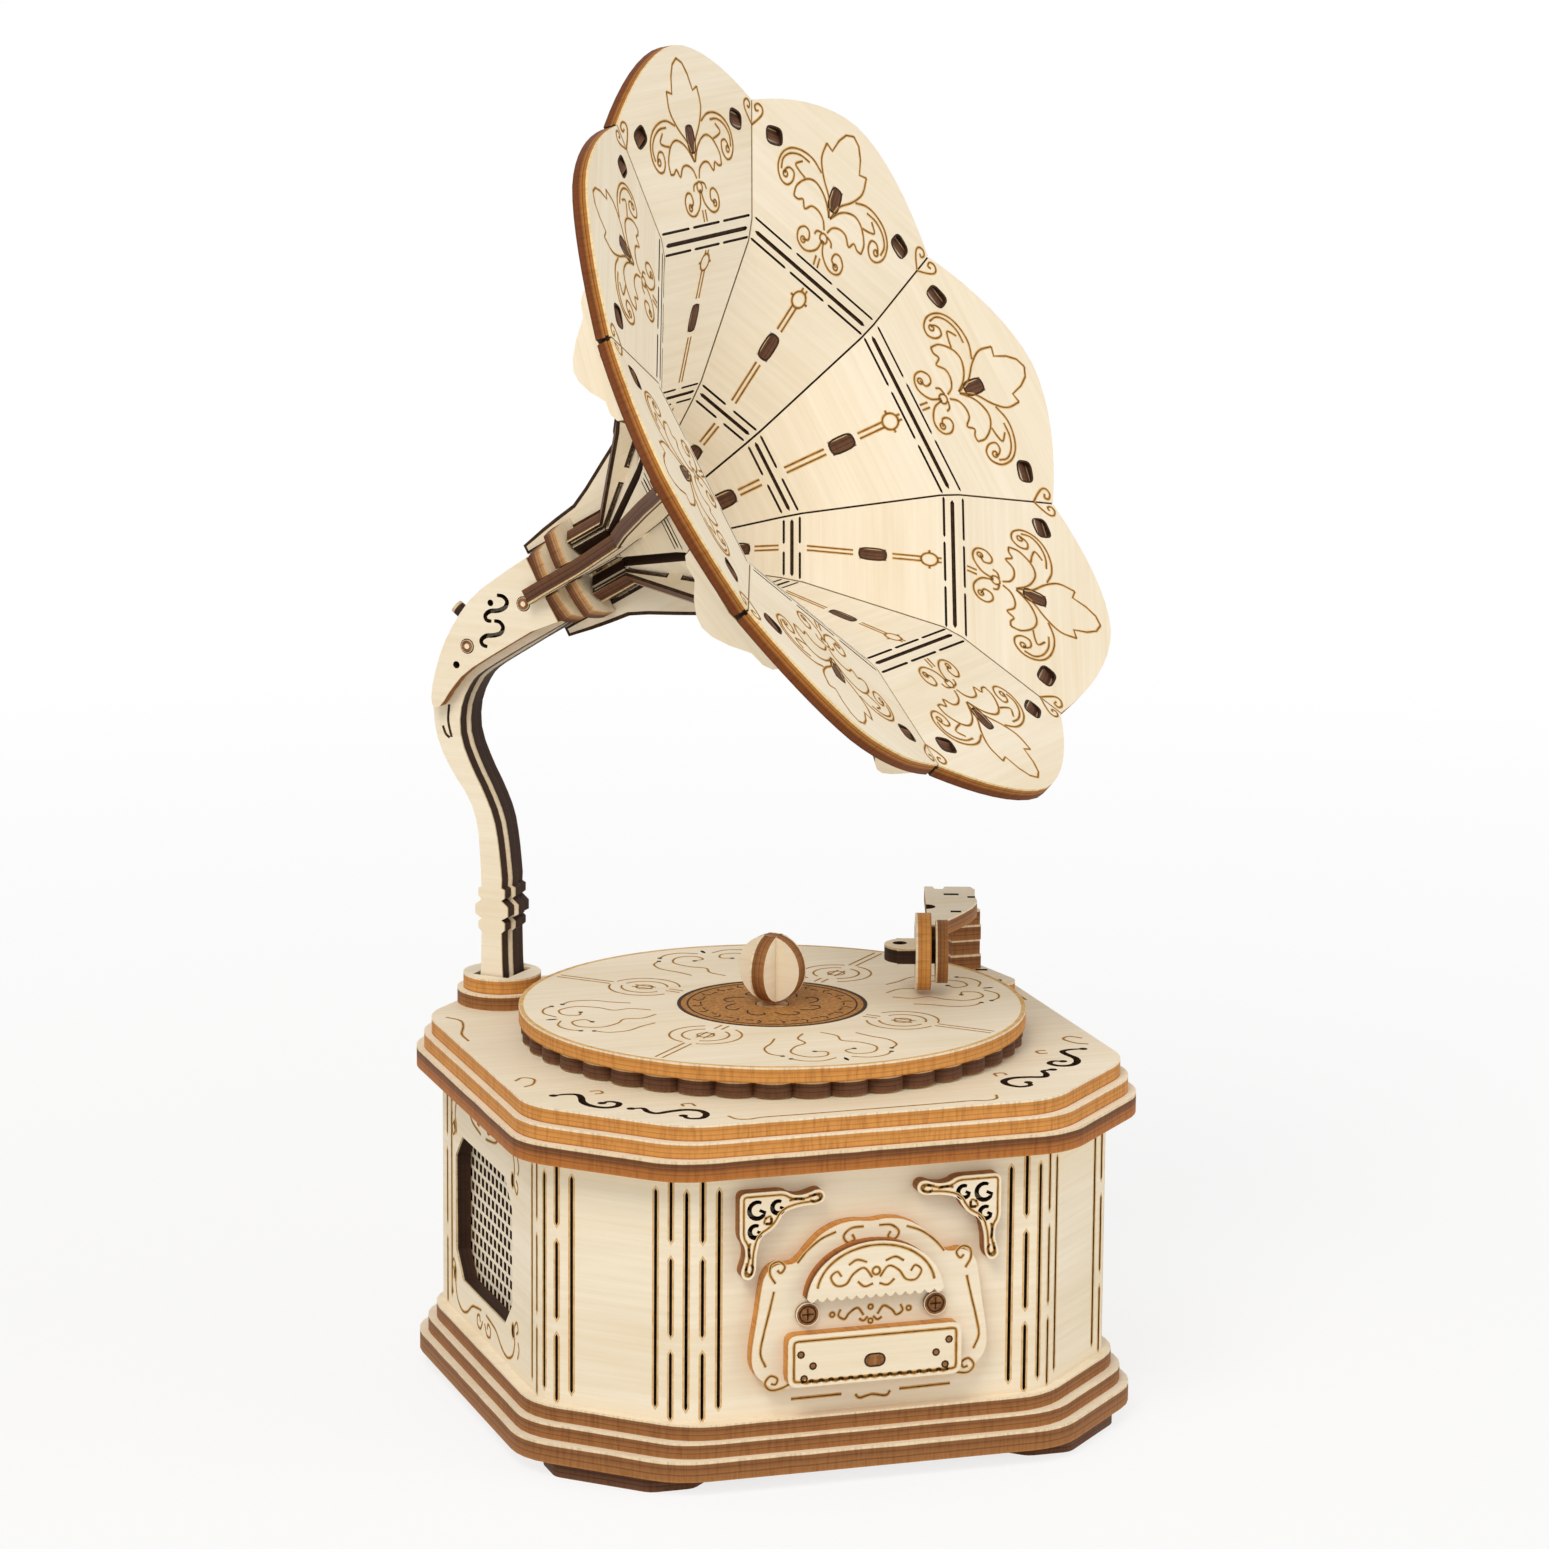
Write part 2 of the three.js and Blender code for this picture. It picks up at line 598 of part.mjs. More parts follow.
function neckShape(margin, hasTenons) {
  const shape = new THREE.Shape();
  const columnX = (share) => share * columnHalf + margin;
  const endDepth = -collarDepth - gap;
  const upperEnd = hornPoint(endDepth, neckEndHalf);
  const lowerEnd = hornPoint(endDepth, -neckEndHalf);
  const rear = neckEdge(neckRearShares, -margin);
  const front = neckEdge(neckFrontShares, margin);
  const down = balusterShares.map(([x, y]) => point(columnX(x) - neckSetback, deckTop + y * neckRise));
  const up = [...balusterShares].reverse().map(([x, y]) => point(-columnX(x) - neckSetback, deckTop + y * neckRise));
  shape.moveTo(rear[0].x, rear[0].y);
  shape.splineThru([...rear.slice(1), upperEnd]);
  if (hasTenons) {
    const inFront = -collarDepth + ringSpacing + ply - gap;
    const tenon = [
      hornPoint(endDepth, coreTenonHalf), hornPoint(inFront, coreTenonHalf),
      hornPoint(inFront, -coreTenonHalf), hornPoint(endDepth, -coreTenonHalf),
    ];
    tenon.forEach((p) => shape.lineTo(p.x, p.y));
  }
  shape.lineTo(lowerEnd.x, lowerEnd.y);
  shape.splineThru(front);
  down.forEach((p) => shape.lineTo(p.x, p.y));
  if (hasTenons) {
    shape.lineTo(tenonHalf - neckSetback, deckTop);
    shape.lineTo(tenonHalf - neckSetback, deckTop - ply);
    shape.lineTo(-tenonHalf - neckSetback, deckTop - ply);
    shape.lineTo(-tenonHalf - neckSetback, deckTop);
  }
  up.forEach((p) => shape.lineTo(p.x, p.y));
  shape.closePath();
  return shape;
}

function coverShape() {
  const endDepth = -collarDepth - gap;
  const upperEnd = hornPoint(endDepth, coverEndHalf);
  const lowerEnd = hornPoint(endDepth, -coverEndHalf);
  const shape = new THREE.Shape();
  shape.moveTo(upperEnd.x, upperEnd.y);
  shape.splineThru(neckEdge(coverShares, 0));
  shape.lineTo(lowerEnd.x, lowerEnd.y);
  shape.closePath();
  return shape;
}

function addNeck() {
  const layers = [
    ['elbow_cover_left', -2, coverShape(), woodColours.face],
    ['neck_plate_left', -1, neckShape(0, false), woodColours.face],
    ['neck_plate_middle', 0, neckShape(coreMargin, true), woodColours.edge],
    ['neck_plate_right', 1, neckShape(0, false), woodColours.dark],
    ['elbow_cover_right', 2, coverShape(), woodColours.dark],
  ];
  for (const [name, step, shape, colour] of layers) {
    const plate = standingPlate(shape, ply - laminaGap, 2);
    addPiece(neckPlane, name, plate, colour).position.y = step * ply + (ply - laminaGap) / 2;
  }

  const slotHalfX = balusterShares.at(-1)[0] * columnHalf + coreMargin + tabGap;
  const slotHalfY = 1.5 * ply + tabGap;
  [['lower', lowerDiscRadius], ['upper', upperDiscRadius]].forEach(([name, radius], i) => {
    const disc = new THREE.Shape().absarc(0, 0, radius, 0, 2 * Math.PI, false);
    disc.holes.push(boxHole(0, 0, slotHalfX, slotHalfY));
    const base = addPiece(neckPlane, `neck_base_${name}`, extrude(disc, ply, 28), woodColours.edge);
    base.position.set(-neckSetback, 0, deckTop + i * ply);
  });
}

// The horn's own frame: +Z out of the mouth, gores spaced evenly round it.
const horn = new THREE.Group();
horn.position.set(hornForward, 0, hornHeight);
horn.rotation.y = Math.PI / 2 - tilt;
neckPlane.add(horn);

// Folds from the collar to the petal, as distance from the axis and height along it.
const folds = [
  point(neckBore, -goreEndDepth),
  point(neckBore, -neckBendDepth),
  throatBand,
  point(throatFoldRadius * flatShare, -throatFoldDepth),
  point(rimBandRadius * flatShare, -rimBandDepth),
  point(petalFoldRadius * flatShare, 0),
  point(notchRadius * flatShare, notchRise),
];
const petalPanel = folds.length - 2;

function panelLine(i) {
  const along = folds[i + 1].clone().sub(folds[i]);
  const length = along.length();
  along.divideScalar(length);
  return { length, along, behind: point(along.y, -along.x) };
}

const panels = folds.slice(0, -1).map((fold, i) => panelLine(i));

function foldBehind(i) {
  if (i === 0) return panels[0].behind;
  if (i > petalPanel) return panels[petalPanel].behind;
  const first = panels[i - 1].behind;
  const second = panels[i].behind;
  return first.clone().add(second).divideScalar(1 + first.dot(second));
}

function onPanel(i, run, depth) {
  const panel = panels[i];
  return folds[i].clone().addScaledVector(panel.along, run).addScaledVector(panel.behind, depth);
}

function onFold(i, depth) {
  return folds[i].clone().addScaledVector(foldBehind(i), depth);
}

// Slots for the ribs, as panel and run from that panel's inner fold.
const ribSlots = [
  { panel: 1, start: panels[1].length - throatSlotStart - slotLength },
  { panel: 3, start: panels[3].length - bandSlotStart - slotLength },
  { panel: petalPanel, start: petalSlotStart },
];

const petal = panels[petalPanel];
const petalLean = petal.along.y / petal.along.x;

// A corner of a bridge's tab seen from the gore: distance from the axis and offset across.
function bridgeCorner(side, radius, spread) {
  return point(
    radius * flatShare + spread * Math.sin(halfStep),
    side * (radius * Math.sin(halfStep) - spread * flatShare),
  );
}

function bridgeSlot(side) {
  const inner = bridgeRadius - ply / 2 - tabGap;
  const outer = bridgeRadius + ply / 2 + tabGap;
  const near = bridgeTabSpread - bridgeTabHalf - tabGap;
  const far = bridgeTabSpread + bridgeTabHalf + tabGap;
  const corners = [[inner, near, 1], [inner, far, 1], [outer, far, 0], [outer, near, 0]];
  return corners.map(([radius, spread, low]) => {
    const corner = bridgeCorner(side, radius, spread);
    const run = (corner.x - folds[petalPanel].x) / petal.along.x - low * ply * petalLean;
    return point(corner.y, run);
  });
}

function ribSlot(start) {
  const half = ply / 2 + tabGap;
  return [point(-half, start), point(-half, start + slotLength), point(half, start + slotLength), point(half, start)];
}

function goreHalfWidth(fold) {
  return fold.x * Math.tan(halfStep) - seamGap / 2;
}

function petalOutline() {
  const foot = goreHalfWidth(folds[petalPanel]);
  const wide = goreHalfWidth(folds[petalPanel + 1]);
  const outline = [point(-foot, 0), point(foot, 0)];
  const steps = 16;
  for (let i = 0; i <= steps; i += 1) {
    const across = 1 - 2 * i / steps;
    const bulge = 1 - Math.abs(across) ** petalTipPower;
    outline.push(point(across * wide, petal.length + petalTipRise * bulge));
  }
  return outline;
}

function panelOutline(i) {
  if (i === petalPanel) return petalOutline();
  const low = goreHalfWidth(folds[i]);
  const high = goreHalfWidth(folds[i + 1]);
  return [point(-low, 0), point(low, 0), point(high, panels[i].length), point(-high, panels[i].length)];
}

function panelHoles(i) {
  const holes = ribSlots.filter((slot) => slot.panel === i).map((slot) => ribSlot(slot.start));
  if (i === petalPanel) holes.push(bridgeSlot(-1), bridgeSlot(1));
  return holes;
}

// One gore: a bent strip of sheet, flat between its folds, closed round its edge and slots.
function goreGeometry() {
  const positions = [];
  const corner = (p) => positions.push(p.x, p.y, p.z);
  const triangle = (a, b, c) => [a, b, c].forEach(corner);
  panels.forEach((panel, i) => {
    const place = (p, depth) => {
      const atFold = p.y === 0 || (i !== petalPanel && p.y === panel.length);
      const fold = p.y === 0 ? i : i + 1;
      const flat = atFold ? onFold(fold, depth) : onPanel(i, p.y, depth);
      return new THREE.Vector3(flat.x, p.x, flat.y);
    };
    const outline = panelOutline(i);
    const holes = panelHoles(i).map((hole) => (THREE.ShapeUtils.isClockWise(hole) ? hole : hole.reverse()));
    const all = [outline, ...holes].flat();
    for (const face of THREE.ShapeUtils.triangulateShape(outline, holes)) {
      const flat = face.map((index) => all[index]);
      const [a, b, c] = THREE.ShapeUtils.isClockWise(flat) ? flat.reverse() : flat;
      triangle(place(a, ply), place(b, ply), place(c, ply));
      triangle(place(c, 0), place(b, 0), place(a, 0));
    }
    const isFold = (p, q) => p.y === q.y && (p.y === 0 ? i > 0 : p.y === panel.length && i !== petalPanel);
    for (const ring of [outline, ...holes]) {
      ring.forEach((p, index) => {
        const q = ring[(index + 1) % ring.length];
        if (ring === outline && isFold(p, q)) return;
        triangle(place(p, 0), place(q, 0), place(q, ply));
        triangle(place(p, 0), place(q, ply), place(p, ply));
      });
    }
  });
  const geometry = new THREE.BufferGeometry();
  geometry.setAttribute('position', new THREE.Float32BufferAttribute(positions, 3));
  return mergeVertices(geometry);
}

// The edge of a rib that follows the gore's back, with its tabs, from the collar to the petal.
function ribInnerEdge() {
  const back = ply + gap;
  const edge = [onFold(0, back)];
  panels.forEach((panel, i) => {
    for (const slot of ribSlots.filter((each) => each.panel === i)) {
      const from = slot.start + tabGap;
      const to = slot.start + slotLength - tabGap;
      edge.push(onPanel(i, from, back), onPanel(i, from, 0), onPanel(i, to, 0), onPanel(i, to, back));
    }
    if (i < petalPanel) edge.push(onFold(i + 1, back));
  });
  edge.push(onPanel(petalPanel, petal.length - gap, back));
  return edge;
}

function ribOuterEdge(shares, height) {
  return shares.map(([i, run, rise]) => onPanel(i, run * panels[i].length, rise * height));
}

function tallRib() {
  const tailLength = collarDepth + ribTail - goreEndDepth;
  const tail = ribTailShares.map(([run, rise]) => onPanel(0, -run * tailLength, rise * ribHeight));
  const seat = point(stackHalf + gap, -collarDepth - ribTail);
  return new THREE.Shape([seat, ...ribInnerEdge(), ...ribOuterEdge(tallRibShares, ribHeight), ...tail]);
}

function slimRib() {
  const height = ply + gap + slimRibHeight;
  const outer = ribOuterEdge(slimRibShares, slimRibRise);
  return new THREE.Shape([...ribInnerEdge(), ...outer, onFold(1, height), onFold(0, height)]);
}

// The petals' back surface over a point of the seam's plane.
function petalHeight(radius, spread, depth) {
  const fromFold = radius * flatShare + spread * Math.sin(halfStep) - folds[petalPanel].x;
  return fromFold * petalLean - depth / petal.along.x;
}

function bridgeShape() {
  const innerFace = bridgeRadius - ply / 2;
  const top = (spread) => petalHeight(innerFace, spread, ply + gap);
  const flush = petalHeight(bridgeRadius, bridgeTabSpread, 0);
  const near = bridgeTabSpread - bridgeTabHalf;
  const far = bridgeTabSpread + bridgeTabHalf;
  const right = [
    point(0, top(0)), point(near, top(near)), point(near, flush), point(far, flush), point(far, top(far)),
    point(bridgeHalf, top(bridgeHalf)),
  ];
  const shape = new THREE.Shape();
  const left = right.slice(1).reverse().map((p) => point(-p.x, p.y));
  shape.moveTo(left[0].x, left[0].y);
  const endDrop = top(bridgeHalf) - bridgeDrop / 2;
  const middleDrop = top(0) - bridgeDrop;
  shape.quadraticCurveTo(-bridgeHalf, endDrop, -bridgeTabSpread - bridgeTabHalf, endDrop);
  shape.quadraticCurveTo(-bridgeTabSpread / 2, middleDrop, 0, middleDrop);
  shape.quadraticCurveTo(bridgeTabSpread / 2, middleDrop, bridgeTabSpread + bridgeTabHalf, endDrop);
  shape.quadraticCurveTo(bridgeHalf, endDrop, bridgeHalf, top(bridgeHalf));
  [...right.slice(0, -1).reverse(), ...left.slice(1).reverse()].forEach((p) => shape.lineTo(p.x, p.y));
  shape.closePath();
  return shape;
}

function ringShape(corner) {
  const half = ply / 2 + tabGap;
  const turn = (p, k) => p.rotateAround(point(0, 0), k * Math.PI / 2);
  const sideAt = (y) => point(corner + ringBulge * (1 - (y / corner) ** 2), y);
  const points = [];
  const steps = 4;
  for (let k = 0; k < 4; k += 1) {
    for (let i = 0; i < steps; i += 1) points.push(turn(sideAt(-corner + (corner - half) * i / steps), k));
    points.push(turn(sideAt(-half), k), turn(point(stackHalf, -half), k), turn(point(stackHalf, half), k));
    for (let i = 0; i < steps; i += 1) points.push(turn(sideAt(half + (corner - half) * i / steps), k));
  }
  const shape = new THREE.Shape(points);
  shape.holes.push(circleHole(0, 0, ringBore));
  return shape;
}

function addHorn() {
  const gore = goreGeometry();
  const tall = standingPlate(tallRib(), ply).translate(0, ply / 2, 0);
  const slim = standingPlate(slimRib(), ply).translate(0, ply / 2, 0);
  const bridge = standingPlate(bridgeShape(), ply, 3).rotateZ(Math.PI / 2).translate(bridgeRadius - ply / 2, 0, 0);
  for (let k = 0; k < petalCount; k += 1) {
    const number = k + 1;
    addPiece(horn, `horn_gore_${number}`, gore.clone()).rotation.z = Math.PI + 2 * k * halfStep;
    const rib = k % 2 === 0 ? tall : slim;
    addPiece(horn, `horn_rib_${number}`, rib.clone(), woodColours.shade).rotation.z = Math.PI + 2 * k * halfStep;
    const between = Math.PI + (2 * k + 1) * halfStep;
    addPiece(horn, `petal_bridge_${number}`, bridge.clone(), woodColours.shade).rotation.z = between;
  }
  const rings = [['rear', rearRingCorner, 0], ['front', frontRingCorner, ringSpacing]];
  for (const [name, corner, forward] of rings) {
    const ring = extrude(ringShape(corner), ply, 8);
    addPiece(horn, `collar_ring_${name}`, ring, woodColours.edge).position.z = forward - collarDepth;
  }
}

addFeet();
addBox();
addWalls();
addGrilles();
addFront();
addTurntable();
addTonearm();
addNeck();
addHorn();

model.updateMatrixWorld(true);
const bounds = new THREE.Box3().setFromObject(model, true);
model.position.set(-(bounds.min.x + bounds.max.x) / 2, -(bounds.min.y + bounds.max.y) / 2, -bounds.min.z);

export default model;
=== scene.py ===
# Dresses the horn gramophone model kit: every laser-cut sheet is cut flat from its CAD outline, engraved,
# and then laid or bent into its place. Lengths are in millimetres until a sheet takes its place.
import math
import random
import bpy
import bmesh
import numpy as np
from mathutils import Matrix, Vector
from mathutils.geometry import delaunay_2d_cdt


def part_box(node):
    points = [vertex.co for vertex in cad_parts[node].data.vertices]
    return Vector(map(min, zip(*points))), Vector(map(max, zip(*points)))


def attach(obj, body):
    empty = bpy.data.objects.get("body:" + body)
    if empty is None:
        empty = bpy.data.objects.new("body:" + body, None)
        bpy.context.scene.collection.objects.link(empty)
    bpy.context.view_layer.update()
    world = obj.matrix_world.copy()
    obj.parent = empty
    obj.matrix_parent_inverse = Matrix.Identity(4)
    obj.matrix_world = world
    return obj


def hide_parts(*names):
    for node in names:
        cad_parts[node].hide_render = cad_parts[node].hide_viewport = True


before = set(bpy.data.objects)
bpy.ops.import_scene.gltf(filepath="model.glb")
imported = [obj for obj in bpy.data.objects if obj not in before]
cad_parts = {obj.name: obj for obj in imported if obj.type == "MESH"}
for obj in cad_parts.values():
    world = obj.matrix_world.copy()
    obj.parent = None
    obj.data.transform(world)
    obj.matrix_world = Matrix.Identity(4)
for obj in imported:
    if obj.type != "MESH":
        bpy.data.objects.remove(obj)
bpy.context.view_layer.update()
mm = 0.001
random.seed(7)

discLow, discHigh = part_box("turntable_disc")
axis = Vector(((discLow.x + discHigh.x) / 2, (discLow.y + discHigh.y) / 2, 0)) / mm  # the turntable's axis
xAxis, yAxis, zAxis = Vector((1, 0, 0)), Vector((0, 1, 0)), Vector((0, 0, 1))
halfRoot = math.sqrt(0.5)
neckRight = Vector((halfRoot, -halfRoot, 0))  # along the neck's plane, towards the horn
neckAcross = Vector((halfRoot, halfRoot, 0))
print("frame loaded")


# Finishes
def hexColour(code):
    shares = [int(code[i:i + 2], 16) / 255 for i in (1, 3, 5)]
    return (*[s / 12.92 if s <= 0.04045 else ((s + 0.055) / 1.055) ** 2.4 for s in shares], 1)


# Adds a node with its settings; stops are those of a colour ramp. An input is a socket to link or a value.
# Gives the chosen output, or the node itself.
def addNode(tree, kind, inputs=None, output=0, stops=(), **settings):
    node = tree.nodes.new(kind)
    for key, value in settings.items():
        setattr(node, key, value)
    if stops:
        elements = node.color_ramp.elements
        while len(elements) < len(stops):
            elements.new(1)
        for stop, (place, colour) in zip(elements, stops):
            stop.position, stop.color = place, hexColour(colour)
    for key, value in (inputs or {}).items():
        if isinstance(value, bpy.types.NodeSocket):
            tree.links.new(value, node.inputs[key])
        else:
            node.inputs[key].default_value = value
    return node.outputs[output] if output is not None and node.outputs else node


# The wood's grain, drawn out to the given sizes along each direction.
def grainPattern(tree, place, sizes, detail, roughness=0.5, distortion=0):
    mapped = addNode(tree, "ShaderNodeMapping", {"Vector": place, "Scale": [1 / size for size in sizes]})
    return addNode(tree, "ShaderNodeTexNoise", {
        "Vector": mapped, "Scale": 1, "Detail": detail, "Roughness": roughness, "Distortion": distortion})


def startMaterial(name):
    material = bpy.data.materials.new(name)
    material.use_nodes = True
    material.node_tree.nodes.clear()
    return material, material.node_tree


def closeMaterial(material, inputs):
    skin = addNode(material.node_tree, "ShaderNodeBsdfPrincipled", inputs)
    addNode(material.node_tree, "ShaderNodeOutputMaterial", {0: skin})
    return material


# Sanded basswood veneer: pale cream, with straight fine grain and faint darker flecks along it.
veneerFinish = {
    "pale": "#F8EBD3", "middle": "#F3E4C9", "tan": "#EEDDBE", "fleck": "#CDAA7B",
    "grainLength": 30, "grainWidth": 0.75, "toneLength": 60, "toneWidth": 9,
    "fleckLength": 3.2, "fleckWidth": 0.28, "grainShare": 0.45, "roughness": 0.6, "relief": 0.03,
}


def veneerMaterial(look):
    material, tree = startMaterial("sanded_basswood_veneer")
    sheet = addNode(tree, "ShaderNodeUVMap", uv_map="sheet")
    grain, tone, fleck = (
        grainPattern(tree, sheet, (look[key + "Length"], look[key + "Width"], 1), 4, 0.6, 0.15)
        for key in ("grain", "tone", "fleck"))
    share = look["grainShare"]
    half = addNode(tree, "ShaderNodeMath", {0: grain, 1: share}, operation="MULTIPLY")
    blend = addNode(tree, "ShaderNodeMath", {0: tone, 1: 1 - share, 2: half}, operation="MULTIPLY_ADD")
    wood = addNode(tree, "ShaderNodeValToRGB", {0: blend},
                   stops=((0.36, look["tan"]), (0.48, look["middle"]), (0.6, look["pale"])))
    flecks = addNode(tree, "ShaderNodeValToRGB", {0: fleck}, stops=((0.66, "#000000"), (0.78, "#595959")))
    mixed = addNode(tree, "ShaderNodeMix", {0: flecks, 6: wood, 7: hexColour(look["fleck"])}, 2,
                    data_type="RGBA")
    rough = addNode(tree, "ShaderNodeMapRange",
                    {0: grain, 3: look["roughness"] + 0.1, 4: look["roughness"] - 0.08})
    bump = addNode(tree, "ShaderNodeBump",
                   {"Strength": 0.35, "Distance": look["relief"] * mm, "Height": grain})
    return closeMaterial(material, {"Base Color": mixed, "Roughness": rough, "IOR": 1.45,
                                    "Specular IOR Level": 0.3, "Normal": bump})


# Laser-cut ply edges: three layers scorched amber to brown, a dark line where they are glued, fine
# striations from the beam, and the face veneer left as a thin pale line along the top. The colours are
# those of the low veneer, the core, the glue lines, the upper half and the face veneer.
edgeFinishes = {
    "amber": ("#A8662C", "#DA9A50", "#BC7A38", "#CF8F48", "#F6E6C6"),
    "smoked": ("#C07A38", "#B06C30", "#8A5328", "#6E4323", "#EFDAB3"),
    # this finish's upper half is painted dark as shade, and its lower half lighter orange as painted light
    # bounced up from the floor
    "brown": ("#B27A45", "#A06B3B", "#744A29", "#8D5C33", "#F2DFBB"),
    "ember": ("#5A3113", "#733B12", "#6A3810", "#B0722E", "#F4DAA0"),
    "tanned": ("#5A3420", "#643A20", "#8F6238", "#B98C5C", "#D2AD7C"),
    "umber": ("#7E5233", "#68432B", "#3C2518", "#5C3923", "#DDC08F"),
    "dark": ("#4A2C18", "#3A2212", "#21140B", "#301C0F", "#DFC69C"),
}
edgeLook = {"streaks": (0.5, 4, 1), "patches": (7, 4, 1), "wobble": 0.09, "shade": 0.5, "roughness": 0.68,
            "relief": 0.04}


def edgeMaterial(name, low, core, glue, upper, veneer):
    material, tree = startMaterial(name)
    layer = addNode(tree, "ShaderNodeAttribute", None, "Fac", attribute_name="layer")
    sheet = addNode(tree, "ShaderNodeUVMap", uv_map="sheet")
    streaks = grainPattern(tree, sheet, edgeLook["streaks"], 3, 0.65)
    patches = grainPattern(tree, sheet, edgeLook["patches"], 2)
    wobble = edgeLook["wobble"]
    moved = addNode(tree, "ShaderNodeMath", {0: patches, 1: wobble, 2: layer}, operation="MULTIPLY_ADD")
    centred = addNode(tree, "ShaderNodeMath", {0: moved, 1: wobble / 2}, operation="SUBTRACT")
    layers = addNode(tree, "ShaderNodeValToRGB", {0: centred}, stops=(
        (0, low), (0.12, core), (0.3, core), (0.35, glue), (0.41, core), (0.6, upper), (0.66, glue),
        (0.71, upper), (0.85, upper), (0.89, veneer)))
    shade = addNode(tree, "ShaderNodeValToRGB", {0: streaks}, stops=((0.3, "#B8A294"), (0.55, "#FFFFFF")))
    burnt = addNode(tree, "ShaderNodeMix", {0: edgeLook["shade"], 6: layers, 7: shade}, 2,
                    data_type="RGBA", blend_type="MULTIPLY")
    bump = addNode(tree, "ShaderNodeBump",
                   {"Strength": 0.5, "Distance": edgeLook["relief"] * mm, "Height": streaks})
    return closeMaterial(material, {"Base Color": burnt, "Roughness": edgeLook["roughness"],
                                    "Specular IOR Level": 0.25, "Normal": bump})


# Charred wood of the beam's marks: nearly black in a through cut, where real char is darkened further by
# painted shade of the narrow holes, golden brown in a light engraving.
# The values are the deep and the light colour and the size of the char's grains.
charFinishes = {
    "burnt": ("charred_and_shaded_laser_kerf", "#24150D", "#4A2E1C", 0.5),
    "line": ("deep_laser_engraving", "#5F3F1C", "#94672B", 0.8),
    "halo": ("light_laser_engraving", "#D2A25C", "#E4BF85", 1.1),
    "slit": ("dark_laser_scoring", "#2A1B10", "#4B3219", 0.8),
    "label": ("raster_etched_veneer", "#9A6834", "#C48F52", 0.4),
    "tab": ("scorched_tab_end", "#73482C", "#A4713F", 0.6),
}


def charMaterial(name, deep, light, grit):
    material, tree = startMaterial(name)
    place = addNode(tree, "ShaderNodeTexCoord", None, "Object")
    noise = grainPattern(tree, place, [grit * mm] * 3, 3, 0.6)
    tint = addNode(tree, "ShaderNodeValToRGB", {0: noise}, stops=((0.35, deep), (0.65, light)))
    bump = addNode(tree, "ShaderNodeBump", {"Strength": 0.4, "Distance": 0.02 * mm, "Height": noise})
    return closeMaterial(material,
                         {"Base Color": tint, "Roughness": 0.8, "Specular IOR Level": 0.2, "Normal": bump})


# Turned birch dowel: tan, grain along its length.
def dowelMaterial():
    material, tree = startMaterial("birch_dowel")
    place = addNode(tree, "ShaderNodeTexCoord", None, "Object")
    grain = grainPattern(tree, place, (0.5 * mm, 0.5 * mm, 8 * mm), 3)
    tint = addNode(tree, "ShaderNodeValToRGB", {0: grain}, stops=((0.35, "#B98552"), (0.65, "#DDB57E")))
    return closeMaterial(material, {"Base Color": tint, "Roughness": 0.6, "Specular IOR Level": 0.3})


finishes = {"face": veneerMaterial(veneerFinish)}
for key, colours in edgeFinishes.items():
    finishes[key] = edgeMaterial(key + "_laser_cut_ply_edge", *colours)
for key, char in charFinishes.items():
    finishes[key] = charMaterial(*char)
finishes["dowel"] = dowelMaterial()
print("finishes made")


# Flat sheets: points (across, along, -depth), faces, the finish of each face, and places on the sheet.
# A sheet's layer is 1 at its face and 0 at its back.
def joinFlats(*flats):
    total = {"points": [], "faces": [], "kinds": [], "sheet": [], "layers": []}
    for flat in flats:
        start = len(total["points"])
        total["faces"] += [[start + i for i in face] for face in flat["faces"]]
        for key in ("points", "kinds", "sheet", "layers"):
            total[key] += flat[key]
    return total


def insideRing(places, ring):
    x, y = places[:, 0], places[:, 1]
    inside = np.zeros(len(places), bool)
    ax, ay = ring[-1]
    for bx, by in ring:
        crosses = (ay > y) != (by > y)
        if crosses.any():
            inside ^= crosses & (x < (bx - ax) * (y - ay) / (by - ay if by != ay else 1) + ax)
        ax, ay = bx, by
    return inside


